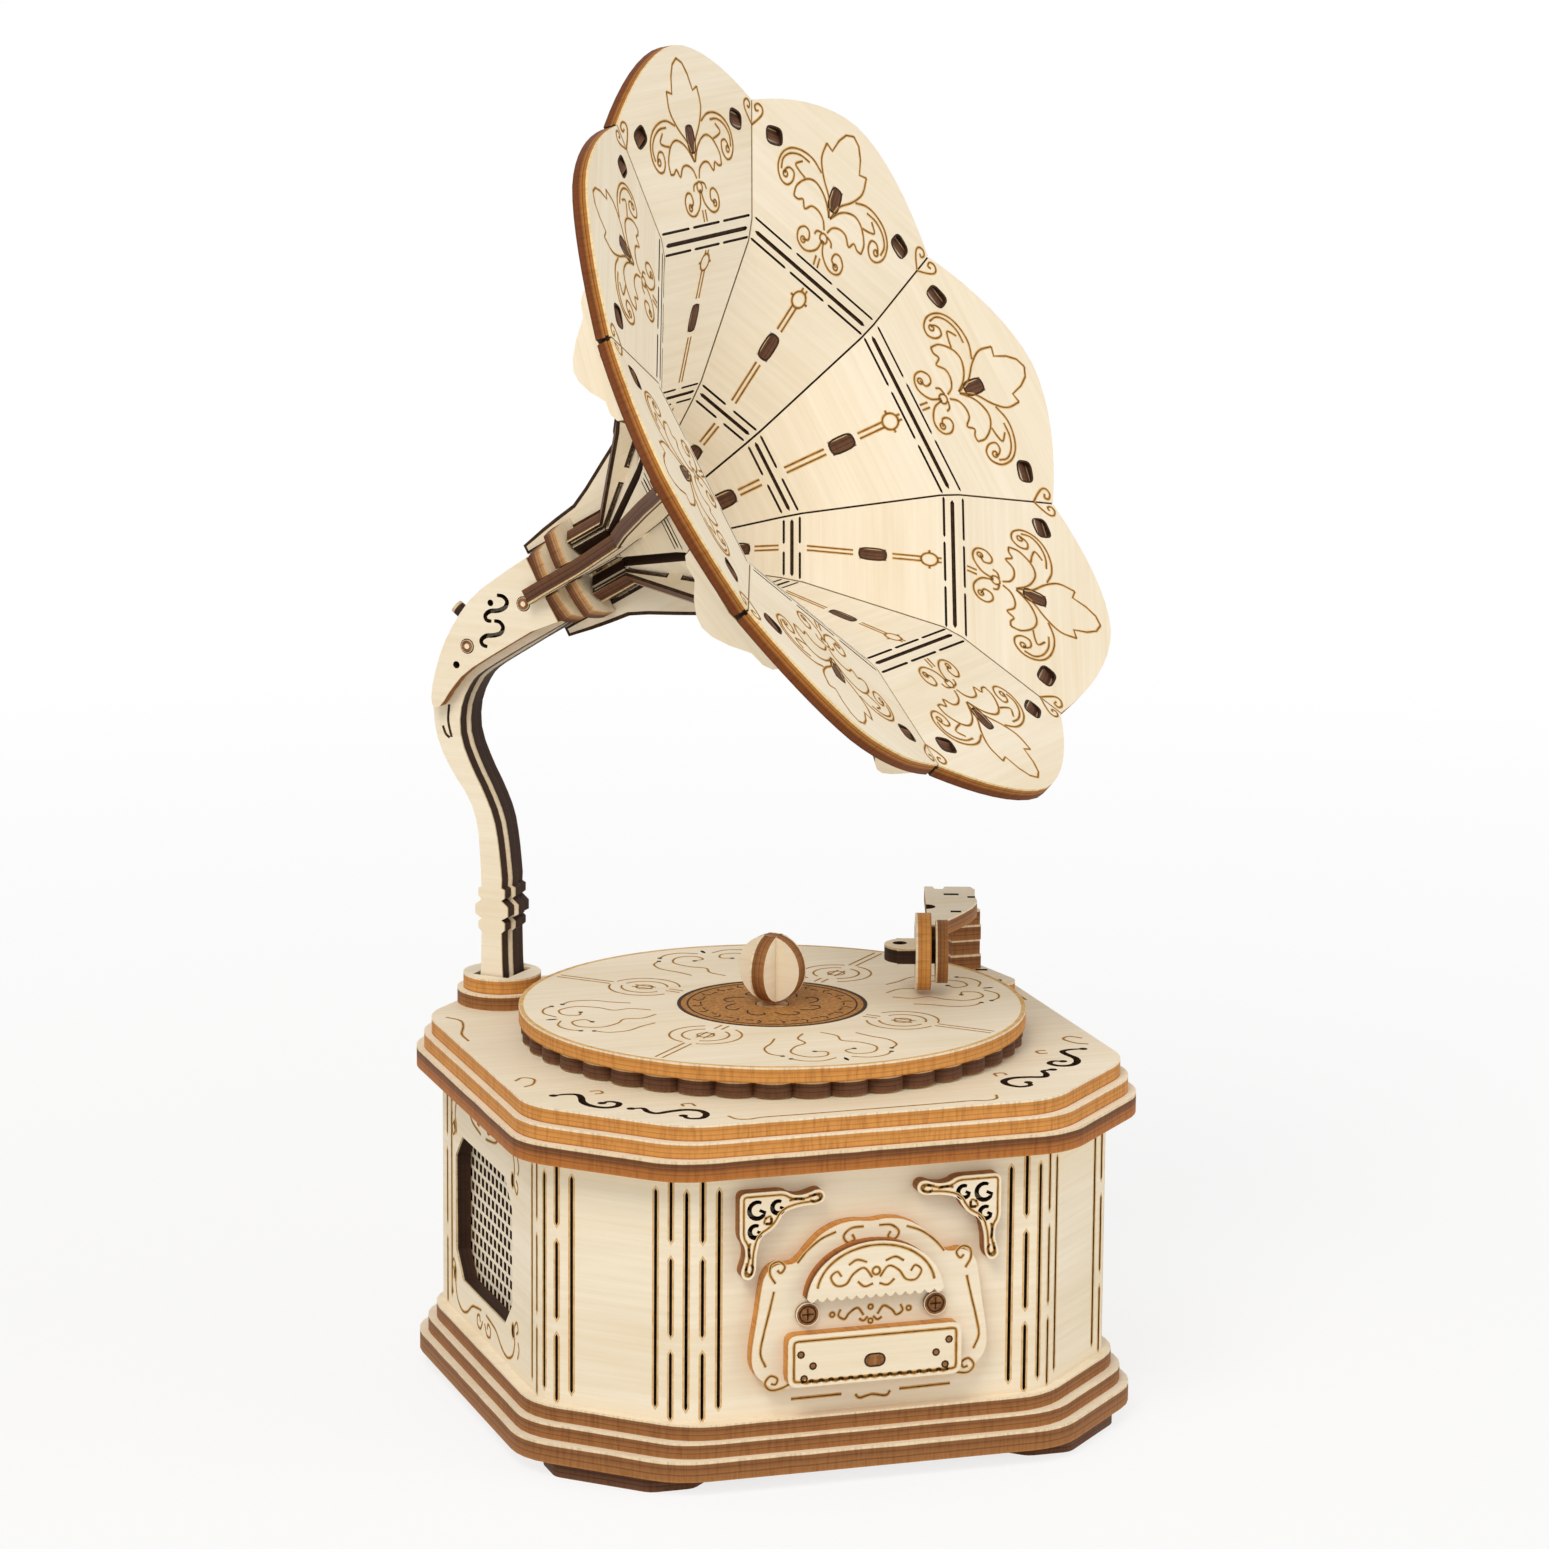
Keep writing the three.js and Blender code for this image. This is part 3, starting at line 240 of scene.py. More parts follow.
# A sheet with the CAD's own outlines, further cut-outs through it, lines that it bends at, and areas
# of its face in another finish.
def cutSheet(rings, thickness=2, edge="amber", cutouts=(), folds=(), inlays=()):
    points, edges, origins = [], [], []
    # The walls of cut-outs take the near-black kerf finish, darker than the outer edges: real char with
    # painted shade of the narrow holes.
    for loops, kind in ((rings, edge), (cutouts, "burnt"), ([ring for ring, _ in inlays], None)):
        for ring in loops:
            start = len(points)
            points += [Vector(p) for p in ring]
            edges += [(start + i, start + (i + 1) % len(ring)) for i in range(len(ring))]
            origins += [kind] * len(ring)
    for a, b in folds:
        points += [Vector(a), Vector(b)]
        edges.append((len(points) - 2, len(points) - 1))
        origins.append(None)
    places, newEdges, triangles, _, edgeOrigins, _ = delaunay_2d_cdt(points, edges, [], 0, 1e-5)
    places = np.array([tuple(p) for p in places])
    triangles = np.array([list(t) for t in triangles])
    middles = places[triangles].mean(axis=1)
    kept = np.zeros(len(triangles), bool)
    for ring in rings:
        kept ^= insideRing(middles, ring)
    for ring in cutouts:
        kept &= ~insideRing(middles, ring)
    faceKinds = np.array(["face"] * len(triangles), dtype=object)
    for ring, kind in inlays:
        faceKinds[insideRing(middles, ring)] = kind
    sideKinds = {}
    for (a, b), sources in zip(newEdges, edgeOrigins):
        named = [origins[i] for i in sources if origins[i]]
        if named:
            sideKinds[(min(a, b), max(a, b))] = named[0]
    count = len(places)
    flat = joinFlats()
    flat["points"] = [(x, y, 0) for x, y in places] + [(x, y, -thickness) for x, y in places]
    flat["layers"] = [1] * count + [0] * count
    isBorder = {}
    for triangle, kind in zip(triangles[kept], faceKinds[kept]):
        a, b, c = (int(i) for i in triangle)
        if np.cross(places[b] - places[a], places[c] - places[a]) < 0:
            b, c = c, b
        flat["faces"] += [[a, b, c], [c + count, b + count, a + count]]
        flat["kinds"] += [kind, "face"]
        flat["sheet"] += [[tuple(places[i]) for i in (a, b, c)], [tuple(places[i] + 40) for i in (c, b, a)]]
        for p, q in ((a, b), (b, c), (c, a)):
            isBorder[(p, q)] = (q, p) not in isBorder
            if not isBorder[(p, q)]:
                isBorder[(q, p)] = False
    onward = {}
    for p, q in (pair for pair, outer in isBorder.items() if outer):
        onward.setdefault(p, []).append(q)
    while onward:
        p = next(iter(onward))
        walked = 0
        while p in onward:
            q = onward[p].pop()
            if not onward[p]:
                del onward[p]
            reached = walked + float(np.linalg.norm(places[q] - places[p]))
            flat["faces"].append([q, p, p + count, q + count])
            flat["kinds"].append(sideKinds.get((min(p, q), max(p, q)), edge))
            flat["sheet"].append([(reached, 0), (walked, 0), (walked, thickness), (reached, thickness)])
            walked = reached
            p = q
    return flat


# Flat sheets take their place as one piece: each bend carries (across, along, depth) to a point in metres.
def layPiece(name, parts, body="cabinet", node=None):
    mesh = bpy.data.meshes.new(name)
    points, faces, kinds, sheet, layers = [], [], [], [], []
    for flat, bend in parts:
        start = len(points)
        points += [bend(x, y, -z) for x, y, z in flat["points"]]
        faces += [[start + i for i in face] for face in flat["faces"]]
        kinds += flat["kinds"]
        layers += flat["layers"]
        shiftX, shiftY = random.uniform(0, 900), random.uniform(0, 900)
        sheet += [(x + shiftX, y + shiftY) for corners in flat["sheet"] for x, y in corners]
    used = sorted({i for face in faces for i in face})
    order = {old: new for new, old in enumerate(used)}
    mesh.from_pydata([points[i] for i in used], [], [[order[i] for i in face] for face in faces])
    names = sorted(set(kinds))
    for kind in names:
        mesh.materials.append(finishes[kind])
    mesh.polygons.foreach_set("material_index", [names.index(kind) for kind in kinds])
    layer = mesh.attributes.new("layer", "FLOAT", "POINT")
    layer.data.foreach_set("value", [layers[i] for i in used])
    uv = mesh.uv_layers.new(name="sheet")
    uv.data.foreach_set("uv", [value for place in sheet for value in place])
    mesh.shade_smooth()
    mesh.set_sharp_from_angle(angle=math.radians(32))
    piece = bpy.data.objects.new(name, mesh)
    bpy.context.collection.objects.link(piece)
    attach(piece, body)
    if node:
        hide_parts(node)


# Places and outlines
# The bend of a plate that stays flat, seen from its front: right and up lie in it, depth runs from the eye.
def flatBend(origin, right, up, front=0):
    out = right.cross(up)
    return lambda across, along, depth: (origin + right * across + up * along + out * (front - depth)) * mm


# The same sheet, further down.
def sunk(bend, drop):
    return lambda across, along, depth: bend(across, along, depth + drop)


# The outlines of a CAD node's front face, laid flat, the widest first.
def frontRings(node, unbend, tolerance=0.02):
    solid = bmesh.new()
    solid.from_mesh(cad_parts[node].data)
    bmesh.ops.remove_doubles(solid, verts=solid.verts, dist=1e-6)
    flat = {vertex: unbend(vertex.co) for vertex in solid.verts}
    front = [face for face in solid.faces if all(abs(flat[vertex].z) < tolerance for vertex in face.verts)]
    inFront = set(front)
    following = {}
    for face in front:  # in the mesh's own order, so that each run gives the same outlines
        for loop in face.loops:
            if loop.link_loop_radial_next.face not in inFront:
                following[loop.vert] = loop.link_loop_next.vert
    rings = []
    while following:
        vertex = next(iter(following))
        ring = []
        while vertex in following:
            ring.append((flat[vertex].x, flat[vertex].y))
            vertex = following.pop(vertex)
        rings.append(ring)
    solid.free()
    return sorted(rings, key=lambda ring: max(x for x, _ in ring) - min(x for x, _ in ring), reverse=True)


# A flat CAD node's bend, outlines and thickness. Its face may lie lower than what stands proud of it.
def flatNode(node, right, up, origin=axis, proud=0):
    out = right.cross(up)
    reach = [(vertex.co / mm - origin).dot(out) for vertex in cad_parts[node].data.vertices]
    front = max(reach) - proud

    def unbend(point):
        offset = point / mm - origin
        return Vector((offset.dot(right), offset.dot(up), front - offset.dot(out)))

    return flatBend(origin, right, up, front), frontRings(node, unbend), front - min(reach)


def circleRing(x, y, radius, steps=14):
    turns = [2 * math.pi * i / steps for i in range(steps)]
    return [(x + radius * math.cos(turn), y + radius * math.sin(turn)) for turn in turns]


def boxRing(x, y, halfX, halfY, turn=0):
    c, s = math.cos(turn), math.sin(turn)
    corners = ((-halfX, -halfY), (halfX, -halfY), (halfX, halfY), (-halfX, halfY))
    return [(x + c * a - s * b, y + s * a + c * b) for a, b in corners]


def turned(line, degrees):
    c, s = math.cos(math.radians(degrees)), math.sin(math.radians(degrees))
    return [(c * x - s * y, s * x + c * y) for x, y in line]


def arcLine(x, y, radius, fromAngle, toAngle, steps=18):
    spread = [math.radians(fromAngle + (toAngle - fromAngle) * i / steps) for i in range(steps + 1)]
    return [(x + radius * math.cos(a), y + radius * math.sin(a)) for a in spread]


# A row of scallops, four steps each, that hang from a level line.
def scallopLine(half, level, depth, count):
    return [(-half + half * i / (2 * count), level - depth * abs(math.sin(math.pi * i / 4)))
            for i in range(4 * count + 1)]


# A smooth line through the given points.
def smooth(points, steps=5):
    if len(points) < 3:
        return list(points)
    ends = [tuple(2 * a - b for a, b in zip(points[i], points[k])) for i, k in ((0, 1), (-1, -2))]
    chain = [ends[0], *points, ends[1]]
    line = []
    for i in range(1, len(chain) - 2):
        p0, p1, p2, p3 = (Vector(chain[i + k]) for k in (-1, 0, 1, 2))
        for step in range(steps):
            t = step / steps
            bow = (2 * p0 - 5 * p1 + 4 * p2 - p3) * t * t + (3 * p1 - p0 - 3 * p2 + p3) * t ** 3
            line.append(tuple(0.5 * (2 * p1 + (p2 - p0) * t + bow)))
    return [*line, tuple(points[-1])]


# The outline of a pen stroke along a line, thinner at its ends.
def strokeRing(line, width, taper=0.35):
    left, right = [], []
    for i, point in enumerate(line):
        along = (Vector(line[min(i + 1, len(line) - 1)]) - Vector(line[max(i - 1, 0)])).normalized()
        share = i / (len(line) - 1)
        half = width / 2 * (taper + (1 - taper) * math.sin(math.pi * share) ** 0.6)
        side = Vector((-along.y, along.x)) * half
        left.append(tuple(Vector(point) + side))
        right.append(tuple(Vector(point) - side))
    return left + right[::-1]


def insetRing(ring, distance):
    inner = []
    for i, point in enumerate(ring):
        before, after = Vector(ring[i - 1]), Vector(ring[(i + 1) % len(ring)])
        first, second = (Vector(point) - before).normalized(), (after - Vector(point)).normalized()
        side = Vector((-first.y - second.y, first.x + second.x))
        side /= max(side.length_squared / 2, 0.5)
        inner.append(tuple(Vector(point) + side * distance))
    return inner


def closedLine(ring):
    return [*ring, ring[0]]


# A slot with round ends, inside the given slot with square corners.
def roundedSlot(ring, margin):
    corners = [Vector(p) for p in ring]
    centre = sum(corners, Vector((0, 0))) / len(corners)
    sides = [b - a for a, b in zip(corners, corners[1:] + corners[:1])]
    along = max(sides, key=lambda side: side.length).normalized()
    across = Vector((-along.y, along.x))
    halfX = max((p - centre).dot(along) for p in corners) - margin
    halfY = max((p - centre).dot(across) for p in corners) - margin
    rim = []
    for i in range(20):
        c, s = math.cos(math.pi * i / 10), math.sin(math.pi * i / 10)
        reachX, reachY = math.copysign(abs(c) ** 0.6, c) * halfX, math.copysign(abs(s) ** 0.6, s) * halfY
        rim.append(tuple(centre + along * reachX + across * reachY))
    return rim


# A ring with its corners rounded off.
def softened(ring, reach):
    for _ in range(2):
        cut = []
        for i, point in enumerate(ring):
            for other in (ring[i - 1], ring[(i + 1) % len(ring)]):
                gap = Vector(other) - Vector(point)
                cut.append(tuple(Vector(point) + gap.normalized() * min(reach, gap.length * 0.28)))
        ring, reach = cut, reach / 2
    return ring


def mirrored(lines):
    return [[(-x, y) for x, y in line] for line in lines]


# Geometry Nodes trees: one lays a thin closed ribbon along each engraved line, the other makes a grid of
# equal perforations, every second row shifted. Both end in real geometry with its finish.
def startGeometry(name, sockets):
    tree = bpy.data.node_groups.new(name, "GeometryNodeTree")
    for label, kind in sockets.items():
        tree.interface.new_socket(label, in_out="INPUT", socket_type="NodeSocket" + kind)
    tree.interface.new_socket("Result", in_out="OUTPUT", socket_type="NodeSocketGeometry")
    return tree, addNode(tree, "NodeGroupInput", None, None).outputs


def closeGeometry(tree, made, finish):
    realized = addNode(tree, "GeometryNodeRealizeInstances", {0: made})
    finished = addNode(tree, "GeometryNodeSetMaterial", {"Geometry": realized, "Material": finish})
    addNode(tree, "NodeGroupOutput", {0: finished})
    return tree


def makeRibbonTree():
    tree, given = startGeometry("engravedRibbon", {
        "Lines": "Geometry", "Line width": "Float", "Ribbon height": "Float", "Finish": "Material"})
    curve = addNode(tree, "GeometryNodeMeshToCurve", {"Mesh": given["Lines"]})
    upright = addNode(tree, "GeometryNodeSetCurveNormal", {"Curve": curve}, mode="Z_UP")
    profile = addNode(tree, "GeometryNodeCurvePrimitiveQuadrilateral",
                      {"Width": given["Line width"], "Height": given["Ribbon height"]})
    ribbon = addNode(tree, "GeometryNodeCurveToMesh",
                     {"Curve": upright, "Profile Curve": profile, "Fill Caps": True})
    return closeGeometry(tree, ribbon, given["Finish"])


def makeGridTree():
    tree, given = startGeometry("staggeredPerforations", {
        "Empty": "Geometry", "Columns": "Int", "Rows": "Int", "Column step": "Float", "Row step": "Float",
        "Stagger": "Float", "Hole width": "Float", "Hole height": "Float", "Finish": "Material"})
    rowOffset = addNode(tree, "ShaderNodeCombineXYZ", {1: given["Row step"]})
    rows = addNode(tree, "GeometryNodeMeshLine", {"Count": given["Rows"], "Offset": rowOffset})
    index = addNode(tree, "GeometryNodeInputIndex")
    odd = addNode(tree, "ShaderNodeMath", {0: index, 1: 2}, operation="MODULO")
    shift = addNode(tree, "ShaderNodeMath", {0: odd, 1: given["Stagger"]}, operation="MULTIPLY")
    shiftX = addNode(tree, "ShaderNodeCombineXYZ", {0: shift})
    staggered = addNode(tree, "GeometryNodeSetPosition", {"Geometry": rows, "Offset": shiftX})
    columnOffset = addNode(tree, "ShaderNodeCombineXYZ", {0: given["Column step"]})
    columns = addNode(tree, "GeometryNodeMeshLine", {"Count": given["Columns"], "Offset": columnOffset})
    lines = addNode(tree, "GeometryNodeInstanceOnPoints", {"Points": staggered, "Instance": columns})
    spots = addNode(tree, "GeometryNodeRealizeInstances", {0: lines})
    hole = addNode(tree, "GeometryNodeMeshGrid", {
        "Vertices X": 2, "Vertices Y": 2, "Size X": given["Hole width"], "Size Y": given["Hole height"]})
    holes = addNode(tree, "GeometryNodeInstanceOnPoints", {"Points": spots, "Instance": hole})
    return closeGeometry(tree, holes, given["Finish"])


ribbonTree, gridTree = makeRibbonTree(), makeGridTree()


# What a tree makes of the given points and edges: points, and faces as rows of point numbers.
def growTree(tree, points, edges, inputs):
    seed = bpy.data.meshes.new("seed")
    seed.from_pydata(points, edges, [])
    holder = bpy.data.objects.new("seed", seed)
    bpy.context.collection.objects.link(holder)
    modifier = holder.modifiers.new("grown", "NODES")
    modifier.node_group = tree
    for item in tree.interface.items_tree:
        if item.in_out == "INPUT" and item.name in inputs:
            modifier[item.identifier] = inputs[item.name]
    grown = bpy.data.meshes.new_from_object(holder.evaluated_get(bpy.context.evaluated_depsgraph_get()))
    bpy.data.objects.remove(holder)
    points = [tuple(vertex.co) for vertex in grown.vertices]
    faces = [list(polygon.vertices) for polygon in grown.polygons]
    bpy.data.meshes.remove(grown)
    return points, faces


def ribbons(lines, width, lift, finish):
    points, edges = [], []
    for line in lines:
        closed = len(line) > 2 and (Vector(line[0]) - Vector(line[-1])).length < 1e-6
        line = line[:-1] if closed else line
        start = len(points)
        points += [(x, y, 0) for x, y in line]
        edges += [(start + i, start + i + 1) for i in range(len(line) - 1)]
        if closed:
            edges.append((start + len(line) - 1, start))
    sizes = {"Line width": width, "Ribbon height": 2 * lift, "Finish": finishes[finish]}
    points, faces = growTree(ribbonTree, points, edges, sizes)
    sheet = [[points[i][:2] for i in face] for face in faces]
    return {"points": points, "faces": faces, "kinds": [finish] * len(faces), "sheet": sheet,
            "layers": [1] * len(points)}


engraving = {"width": 0.19, "haloWidth": 0.44, "lift": 0.03, "haloLift": 0.018}


def engrave(lines, scale=1):
    halo = ribbons(lines, engraving["haloWidth"] * scale, engraving["haloLift"], "halo")
    return joinFlats(halo, ribbons(lines, engraving["width"] * scale, engraving["lift"], "line"))


# The dark outlines of tab ends, pins and slots.
def score(lines, width=0.2, lift=0.03):
    return ribbons(lines, width, lift, "slit")


def plate(node, edge="amber", cutouts=(), lines=(), deep=(), body="cabinet", view=(xAxis, yAxis),
          origin=axis):
    bend, rings, thickness = flatNode(node, *view, origin)
    flat = cutSheet(rings, thickness, edge, cutouts)
    if lines:
        flat = joinFlats(flat, engrave(lines))
    if deep:
        flat = joinFlats(flat, score(deep, 0.34, 0.025))
    layPiece("dressed_" + node, [(flat, bend)], body, node)


# The end of a round peg: dark round its edge, its face in one or more discs of (radius, steps, finish).
def pegEnd(x, y, radius, steps, length, discs):
    inlays = [(circleRing(x, y, inner, count), kind) for inner, count, kind in discs]
    return cutSheet([circleRing(x, y, radius, steps)], length, "dark", inlays=inlays)


# Box: feet, base, lid
for corner in ("rear_right", "rear_left", "front_left", "front_right"):
    plate("foot_" + corner, "umber")
for level in ("lower", "middle", "upper"):
    plate("base_plate_" + level, "brown")
# The lowest lid plate's edge: upper half painted shade under the plate above, lower half painted light
# bounced up from the floor.
plate("lid_plate_lower", "smoked")
plate("lid_plate_middle")

deck = {"scrollWidth": 0.95, "dotRadius": 0.6, "rightShift": 2.6, "rightInward": 1.5}
# S scrolls in front of each front chamfer: along the chamfer, and out from the turntable's axis
deckScrolls = [
    [(-10.4, 39.5), (-9.3, 38.2), (-8.0, 37.7), (-6.9, 38.7), (-5.6, 40.6), (-3.8, 41.6), (-2.0, 41.5),
     (-1.1, 40.2), (-1.6, 38.8), (-2.9, 38.7), (-3.4, 39.8)],
    [(1.0, 40.4), (2.2, 39.6), (3.4, 40.6), (4.8, 40.9), (5.9, 39.2), (7.2, 37.7), (9.0, 37.3), (10.4, 38.4),
     (10.7, 40.2), (9.4, 41.1), (8.2, 40.3)],
]
deckCurl = [(-7.4, 35.6), (-6.4, 34.8), (-5.6, 35.6), (-6.2, 36.4)]
# engraved lines on the right half of the lid, from the turntable's axis
deckSide = [
    [(37.9, -12.5), (36.6, -11.2), (35.4, -12.3), (36.2, -14.6), (37.6, -15.6)],
    [(17.5, -36.0), (16.9, -37.7), (15.4, -38.2), (13.4, -37.8), (8.0, -37.9), (0, -37.9)],
    [(37.6, 21.4), (36.3, 19.2), (36.7, 16.2), (38.0, 12.2), (38.1, 8.6)],
]


# Side -1 is the front left chamfer; the right one is its mirror image, moved along it and a little inwards.
def onChamfer(line, side):
    if side < 0:
        return [((along - out) * halfRoot, -(along + out) * halfRoot) for along, out in line]
    moved = [(along - deck["rightShift"], out - deck["rightInward"]) for along, out in line]
    return [((out - along) * halfRoot, -(along + out) * halfRoot) for along, out in moved]


deckCuts, deckLines = [], []
for side in (-1, 1):
    for line in deckScrolls:
        drawn = onChamfer(smooth(line), side)
        deckCuts.append(strokeRing(drawn, deck["scrollWidth"], 0.5))
        deckCuts += [circleRing(*drawn[i], deck["dotRadius"], 10) for i in (0, -1)]
    deckLines += [onChamfer(smooth(curl), side) for curl in (deckCurl, *mirrored([deckCurl]))]
    deckLines += [smooth([(side * x, y) for x, y in line]) for line in deckSide]
plate("lid_plate_upper", cutouts=deckCuts, lines=deckLines)
print("base and lid dressed")


# Walls: one strip of sheet, laid out flat and bent at its rows of kerf slits
walls = {
    "half": 37.6, "flat": 23.3, "seamGap": 0.3, "bendHalf": 2.2, "bendSteps": 6, "slitWidth": 0.42,
    "rowStep": 2.12, "long": ((10.1, 38.2),), "dashes": ((8.75, 17.6), (19.4, 29.6), (31.5, 39.9)),
    "windowMiddle": 3.5, "windowHeight": 23.6,
    "windowSlots": ((16.9, 33.6), (-10.2, 33.5), (17.2, 13.6), (-10.3, 13.8)), "windowSlotHalf": (0.62, 0.95),
    "hiddenBelow": 8.9, "scorchOut": 0.14, "scorchWidth": 0.24,
}


def wallPlace(corners, middle, mitre):
    corners = [Vector(c) for c in corners]
    ways = [(b - a).normalized() for a, b in zip(corners, corners[1:])]
    lengths = [(b - a).length for a, b in zip(corners, corners[1:])]
    starts = [sum(lengths[:i]) for i in range(len(lengths) + 1)]
    centre = starts[middle] + lengths[middle] / 2
    starts = [s - centre for s in starts]
    half, turn = walls["bendHalf"], math.pi / 4
    radius = half / math.tan(turn / 2)

    def bend(across, along, depth):
        if mitre:
            across -= depth * (across > starts[-1] - 0.01) - depth * (across < starts[0] + 0.01)
        i = max(k for k in range(len(ways)) if k == 0 or across >= starts[k])
        spot, way = corners[i] + ways[i] * (across - starts[i]), ways[i]
        for k in range(1, len(ways)):
            if abs(across - starts[k]) < half:
                angle = (across - starts[k] + half) / (2 * half) * turn
                c, s = math.cos(angle), math.sin(angle)
                before = ways[k - 1]
                left = Vector((-before.y, before.x))
                spot = corners[k] - before * half + before * radius * s + left * radius * (1 - c)
                way = before * c + left * s
        return (axis + Vector((spot.x - way.y * depth, spot.y + way.x * depth, along))) * mm

    def unbend(point):
        x, y, z = point / mm - axis
        best = None
        for start, corner, way, length in zip(starts, corners, ways, lengths):
            run = (x - corner.x) * way.x + (y - corner.y) * way.y
            depth = (y - corner.y) * way.x - (x - corner.x) * way.y
            if -0.01 < run < length + 0.01 and (best is None or abs(depth) < abs(best.z)):
                best = Vector((start + run, z, depth))
        return best or Vector((0, 0, 99))

    folds = []
    for start in starts[1:-1]:
        for step in range(walls["bendSteps"] + 1):
            place = start - half + 2 * half * step / walls["bendSteps"]
            folds.append(((place, -5), (place, 60)))
    return bend, unbend, folds, starts


def slitRing(place, low, high, width):
    left, right = place - width / 2, place + width / 2
    return [(left, low + width), (place, low), (right, low + width), (right, high - width), (place, high),
            (left, high - width)]


# Rows of slits at each bend, and half of them at each seam.
def kerfCuts(starts, seamPlace):
    bunches = [(place, (-2, -1, 0, 1, 2)) for place in starts[1:-1]]
    bunches += [(side * seamPlace, (-side, -2 * side)) for side in (-1, 1)]
    rings = []
    for place, rows in bunches:
        for row in rows:
            spans = walls["dashes"] if row % 2 else walls["long"]
            rings += [slitRing(place + row * walls["rowStep"], *span, walls["slitWidth"]) for span in spans]
    return rings


half, flatHalf, halfGap = walls["half"], walls["flat"], walls["seamGap"] / 2
seam = flatHalf - halfGap
frontCorners = [(-half, seam), (-half, -flatHalf), (-flatHalf, -half), (flatHalf, -half), (half, -flatHalf),
                (half, seam)]
frontBend, frontUnbend, frontFolds, frontStarts = wallPlace(frontCorners, 2, False)
sideMiddle = frontStarts[4] + flatHalf  # where y is 0 on the right wall

wallLines = []
wallCuts = kerfCuts(frontStarts, frontStarts[-1] - halfGap)
windowCentre = walls["windowMiddle"]
# a quarter of the scrollwork round each window: back from the window's middle, and up from its middle
windowScroll = [
    [(0.5, 13.4), (1.6, 14.7), (3.1, 14.5), (3.2, 13.3), (2.1, 13.0), (1.7, 13.8)],
    [(1.2, 12.0), (3.6, 12.3), (6.0, 12.8), (8.6, 14.3), (11.2, 14.8), (13.6, 13.8), (14.6, 11.8),
     (14.4, 9.8), (15.6, 8.6), (16.2, 9.6), (15.4, 10.3)],
    [(15.9, 13.6), (16.6, 12.2), (16.1, 11.2)],
]
slotX, slotZ = walls["windowSlotHalf"]
for side in (-1, 1):
    for y, z in walls["windowSlots"]:
        across = side * (sideMiddle + y)
        wallCuts.append([(across + slotX * a, z + slotZ * b) for a, b in circleRing(0, 0, 1, 10)])
    for back, shareA in ((-1, 1), (1, 0.92)):
        for up, shareB in ((-1, 0.95), (1, 1)):
            for line in windowScroll:
                drawn = [(side * (sideMiddle + windowCentre + back * a * shareA),
                          walls["windowHeight"] + up * b * shareB)
                         for a, b in line]
                wallLines.append(smooth(drawn, 4))
wallLines += [[(-9.6, 10.55), (-3.0, 10.6)], [(4.6, 10.6), (11.3, 10.69)],
              smooth([(-1.2, 10.4), (-0.6, 9.9), (1.0, 10.2), (2.8, 9.9), (3.4, 10.5)])]
wallLines = [line for line in wallLines if min(z for _, z in line) > walls["hiddenBelow"]]
flat = cutSheet(frontRings("wall_wrap_front", frontUnbend), 2, "dark", wallCuts, frontFolds)
scorchLines = [closedLine(insetRing(ring, -walls["scorchOut"])) for ring in wallCuts]
scorches = ribbons(scorchLines, walls["scorchWidth"], 0.012, "halo")
flat = joinFlats(flat, scorches, engrave(wallLines, 1.1))
layPiece("dressed_wall_wrap_front", [(flat, frontBend)], node="wall_wrap_front")

rearSeam, rearX = flatHalf + halfGap, half - halfGap
rearCorners = [(rearX, rearSeam), (flatHalf, half), (-flatHalf, half), (-rearX, rearSeam)]
rearBend, rearUnbend, rearFolds, rearStarts = wallPlace(rearCorners, 1, True)
rearCuts = kerfCuts(rearStarts, rearStarts[-1] + halfGap)
flat = cutSheet(frontRings("wall_wrap_rear", rearUnbend), 2, "brown", rearCuts, rearFolds)
layPiece("dressed_wall_wrap_rear", [(flat, rearBend)], node="wall_wrap_rear")

grille = {"Columns": 16, "Rows": 15, "Column step": 1.9, "Row step": 1.66, "Stagger": 0.95, "Hole width": 1.2,
          "Hole height": 1.15, "Finish": finishes["burnt"]}
grilleFoot = 12.2
for name, side in (("left", -1), ("right", 1)):
    node = "grille_" + name
    bend, rings, thickness = flatNode(node, side * yAxis, zAxis)
    start = side * windowCentre - (grille["Columns"] - 0.5) * grille["Column step"] / 2
    points, faces = growTree(gridTree, [(0, 0, 0)], [], grille)
    holes = [[(start + points[i][0], grilleFoot + points[i][1]) for i in face] for face in faces]
    layPiece("latticed_" + node, [(cutSheet(rings, thickness, "brown", holes), bend)], node=node)
print("walls and grilles bent into place")


